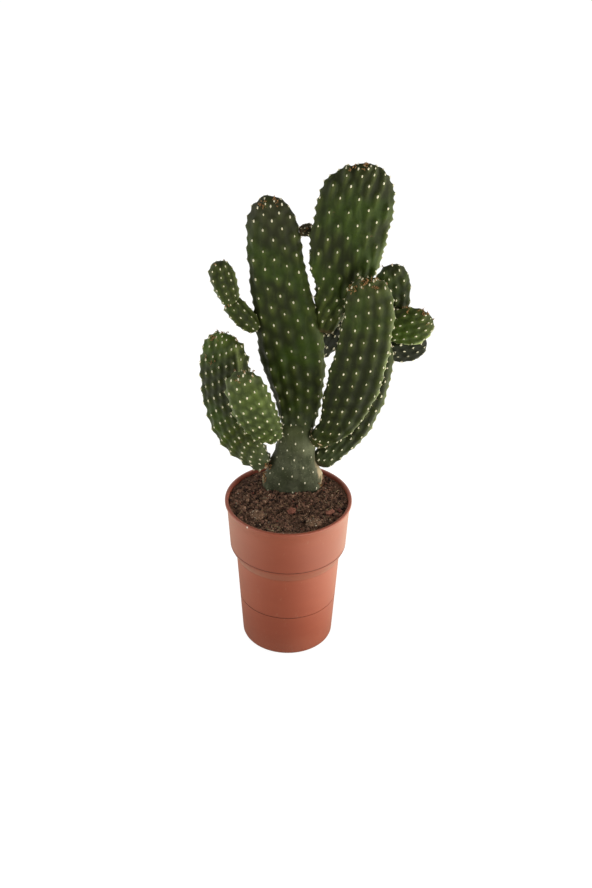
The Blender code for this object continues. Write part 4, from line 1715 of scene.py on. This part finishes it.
    def _straws(self, book: FinishBook) -> None:
        """Scatter thin dry fibres that lie on the crumbs."""
        x, y = self._scatter(self.straws, 0.96)
        picks = self.rng.choice(len(STRAW_COLOURS), len(x), p=STRAW_ODDS)
        places = []
        for px, py in zip(x, y):
            length = float(self.rng.uniform(2.5, 8.5))
            heading = float(self.rng.uniform(0, 2 * math.pi))
            along = Vector((math.cos(heading), math.sin(heading), float(self.rng.normal(0.05, 0.16))))
            z = float(self.level(np.array([px]), np.array([py]))[0]) + 0.6
            thick = float(self.rng.uniform(0.09, 0.24)) * MM
            places.append(frame_matrix(Vector((px, py, z)) * MM, along.orthogonal(), along,
                                       (thick, thick * 1.6, length * MM)))
        mesh = stamp("soil_straws", spike_pattern(4), places, np.array(STRAW_COLOURS)[picks])
        put("soil_straws", mesh, book.crumbs)

    def _chip(self, chip: Chip, book: FinishBook) -> None:
        """Make one weathered chip or clod in place of its CAD block.

        Args:
            chip: The chip.
            book: The finishes.
        """
        low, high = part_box(chip.node)
        rough, power = (0.24, 0.85) if chip.crumbly else (0.12, 0.55)
        bm = bmesh.new()
        bmesh.ops.create_icosphere(bm, subdivisions=4, radius=1)
        for vertex in bm.verts:
            x, y, z = vertex.co
            lump = 1 + rough * (math.sin(6 * x + 2 * z + 1) * math.cos(5 * y) + 0.7 * math.sin(13 * x + 4) *
                                math.sin(11 * y + 5 * z)) + 0.3 * rough * float(self.rng.normal())
            vertex.co = Vector([math.copysign(abs(value) ** power, value) * lump for value in (x, y, z)])
        size = (chip.length / 2 * MM, chip.width / 2 * MM, (high.z - low.z) / 2 * 1.15)
        turn = Matrix.Rotation(math.radians(chip.turn), 4, "Z") @ Matrix.Rotation(0.12, 4, "X")
        place = Vector((chip.place[0] * MM, chip.place[1] * MM, (low.z + high.z) / 2 + 0.3 * MM))
        shape = Matrix.Translation(place) @ turn @ Matrix.Diagonal((*size, 1))
        bmesh.ops.transform(bm, verts=bm.verts, matrix=shape)
        mesh = new_mesh(chip.node + "_piece", bm)
        write_tint(mesh, "own_colour", np.repeat([chip.colour], len(mesh.vertices), axis=0))
        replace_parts(put(chip.node + "_piece", mesh, book.bark), chip.node)
        if not chip.crumbly:
            return
        spots = read_points(mesh)[self.rng.choice(len(mesh.vertices), self.CLOD_CRUMBS)]
        places = [Matrix.Translation(Vector(spot)) @ Matrix.Rotation(float(self.rng.uniform(0, 6.28)), 4, "X")
                  @ Matrix.Diagonal((*(self.rng.uniform(0.35, 0.95, 3) * MM), 1)) for spot in spots]
        kinds = np.array(CLOD_COLOURS)[self.rng.choice(len(CLOD_COLOURS), len(places), p=CLOD_ODDS)]
        crumbs = stamp(chip.node + "_crumbs", pebble_pattern(self.rng), places, kinds)
        put(chip.node + "_crumbs", crumbs, book.crumbs)


# ----------------------------------------------------------------------------------------------------
# Studio
# ----------------------------------------------------------------------------------------------------


@dataclass(frozen=True)
class SoftLight:
    """A square soft light that faces the plant: its place, its side, its power in watts and its colour."""

    name: str
    place: Point
    size: float
    power: float
    colour: Colour = (1.0, 1.0, 1.0)


@dataclass
class Studio:
    """A white studio: pale floor, soft light from both sides and behind, and the camera."""

    target: Point = (6.6, 0.0, 215.8)
    distance: float = 1668.1
    elevation: float = 32.96
    roll: float = 0.648
    lens: float = 73.0
    front_glow: float = 0.2
    back_glow: float = 0.9
    right_bounce: float = 2.7
    left_bounce: float = 1.9
    least_bounce: float = 0.15
    bounce_colour: Colour = (0.98, 0.97, 0.80)
    floor_glow: float = 0.9
    floor_size: float = 12000.0
    lights: tuple[SoftLight, ...] = (
        SoftLight("key_light", (1550, -300, 550), 900, 27.0, (1.0, 0.97, 0.90)),
        SoftLight("fill_light", (-1550, -250, 650), 1000, 16.0),
        SoftLight("front_light", (700, -1400, 300), 700, 11.0),
    )

    def build(self) -> None:
        """Set up the camera, the world, the lights and the floor."""
        self._camera()
        self._world()
        for light in self.lights:
            self._soft_light(light)
        self._floor()
        bpy.context.scene.view_settings.view_transform = "Standard"

    def _camera(self) -> None:
        """Place the camera above and in front, looking down at the plant."""
        data = bpy.data.cameras.new("camera")
        data.lens = self.lens
        data.clip_end = 100
        camera = bpy.data.objects.new("camera", data)
        bpy.context.scene.collection.objects.link(camera)
        down = math.radians(self.elevation)
        offset = Vector((0, -math.cos(down), math.sin(down))) * self.distance * MM
        look = Matrix.Rotation(math.radians(90 - self.elevation), 4, "X")
        camera.matrix_world = (Matrix.Translation(Vector(self.target) * MM + offset) @ look
                               @ Matrix.Rotation(math.radians(self.roll), 4, "Z"))
        bpy.context.scene.camera = camera

    def _world(self) -> None:
        """Surround the object with white light, strongest behind it, and show pure white behind it."""
        world = bpy.data.worlds.new("white_studio")
        world.use_nodes = True
        g = Graph(world.node_tree)
        direction = g.node("ShaderNodeTexCoord", output="Generated")
        depth = g.node("ShaderNodeSeparateXYZ", {}, {"Vector": direction}, "Y")
        glow = g.node("ShaderNodeMapRange", {}, {"Value": depth, "From Min": -0.7, "From Max": 0.7,
                                                 "To Min": self.front_glow, "To Max": self.back_glow})
        shown = g.node("ShaderNodeLightPath", output="Is Camera Ray")
        background = world.node_tree.nodes["Background"]
        strength = g.node("ShaderNodeMapRange", {}, {"Value": shown, "To Min": glow})
        g.feed(background.inputs["Color"], (1.0, 1.0, 1.0))
        g.feed(background.inputs["Strength"], strength)
        bpy.context.scene.world = world

    def _soft_light(self, soft: SoftLight) -> None:
        """Add a soft light.

        Args:
            soft: The light's values.
        """
        data = bpy.data.lights.new(soft.name, "AREA")
        data.energy = soft.power
        data.size = soft.size * MM
        data.color = soft.colour
        light = bpy.data.objects.new(soft.name, data)
        bpy.context.scene.collection.objects.link(light)
        light.location = Vector(soft.place) * MM
        towards = Vector(self.target) * MM - light.location
        light.rotation_euler = towards.to_track_quat("-Z", "Y").to_euler()

    def _floor(self) -> None:
        """Lay a wide pale floor under the pot."""
        bm = bmesh.new()
        bmesh.ops.create_grid(bm, x_segments=1, y_segments=1, size=self.floor_size / 2 * MM)
        mesh = new_mesh("floor", bm)
        g = Surface("pale_floor")
        shown = g.node("ShaderNodeLightPath", output="Is Camera Ray")
        across = g.part("X")
        near = 1 - g.distance((0, 0, 0)).between(0.7, 1.5)
        right = across.between(0.03, 0.22) * self.right_bounce
        left = (0 - across).between(0.08, 0.3) * self.left_bounce
        glow = shown * self.floor_glow + (1 - shown) * ((right + left) * near + self.least_bounce)
        warm = g.mix(shown, self.bounce_colour, (1.0, 1.0, 1.0))
        mesh.materials.append(g.finish(Base_Color=(0.2, 0.2, 0.2), Roughness=0.9, Specular_IOR_Level=0.0,
                                       Emission_Color=warm, Emission_Strength=glow))
        floor = bpy.data.objects.new("floor", mesh)
        bpy.context.scene.collection.objects.link(floor)


def main() -> None:
    """Build the studio, the pot, the soil and the plant."""
    logging.basicConfig(level=logging.INFO, format="%(message)s")
    Studio().build()
    book = FinishBook.make()
    pot = Pot()
    pot.build(book)
    Soil(pot).build(book)
    for pad in plant():
        pad.build(book)


if __name__ == "__main__":
    main()
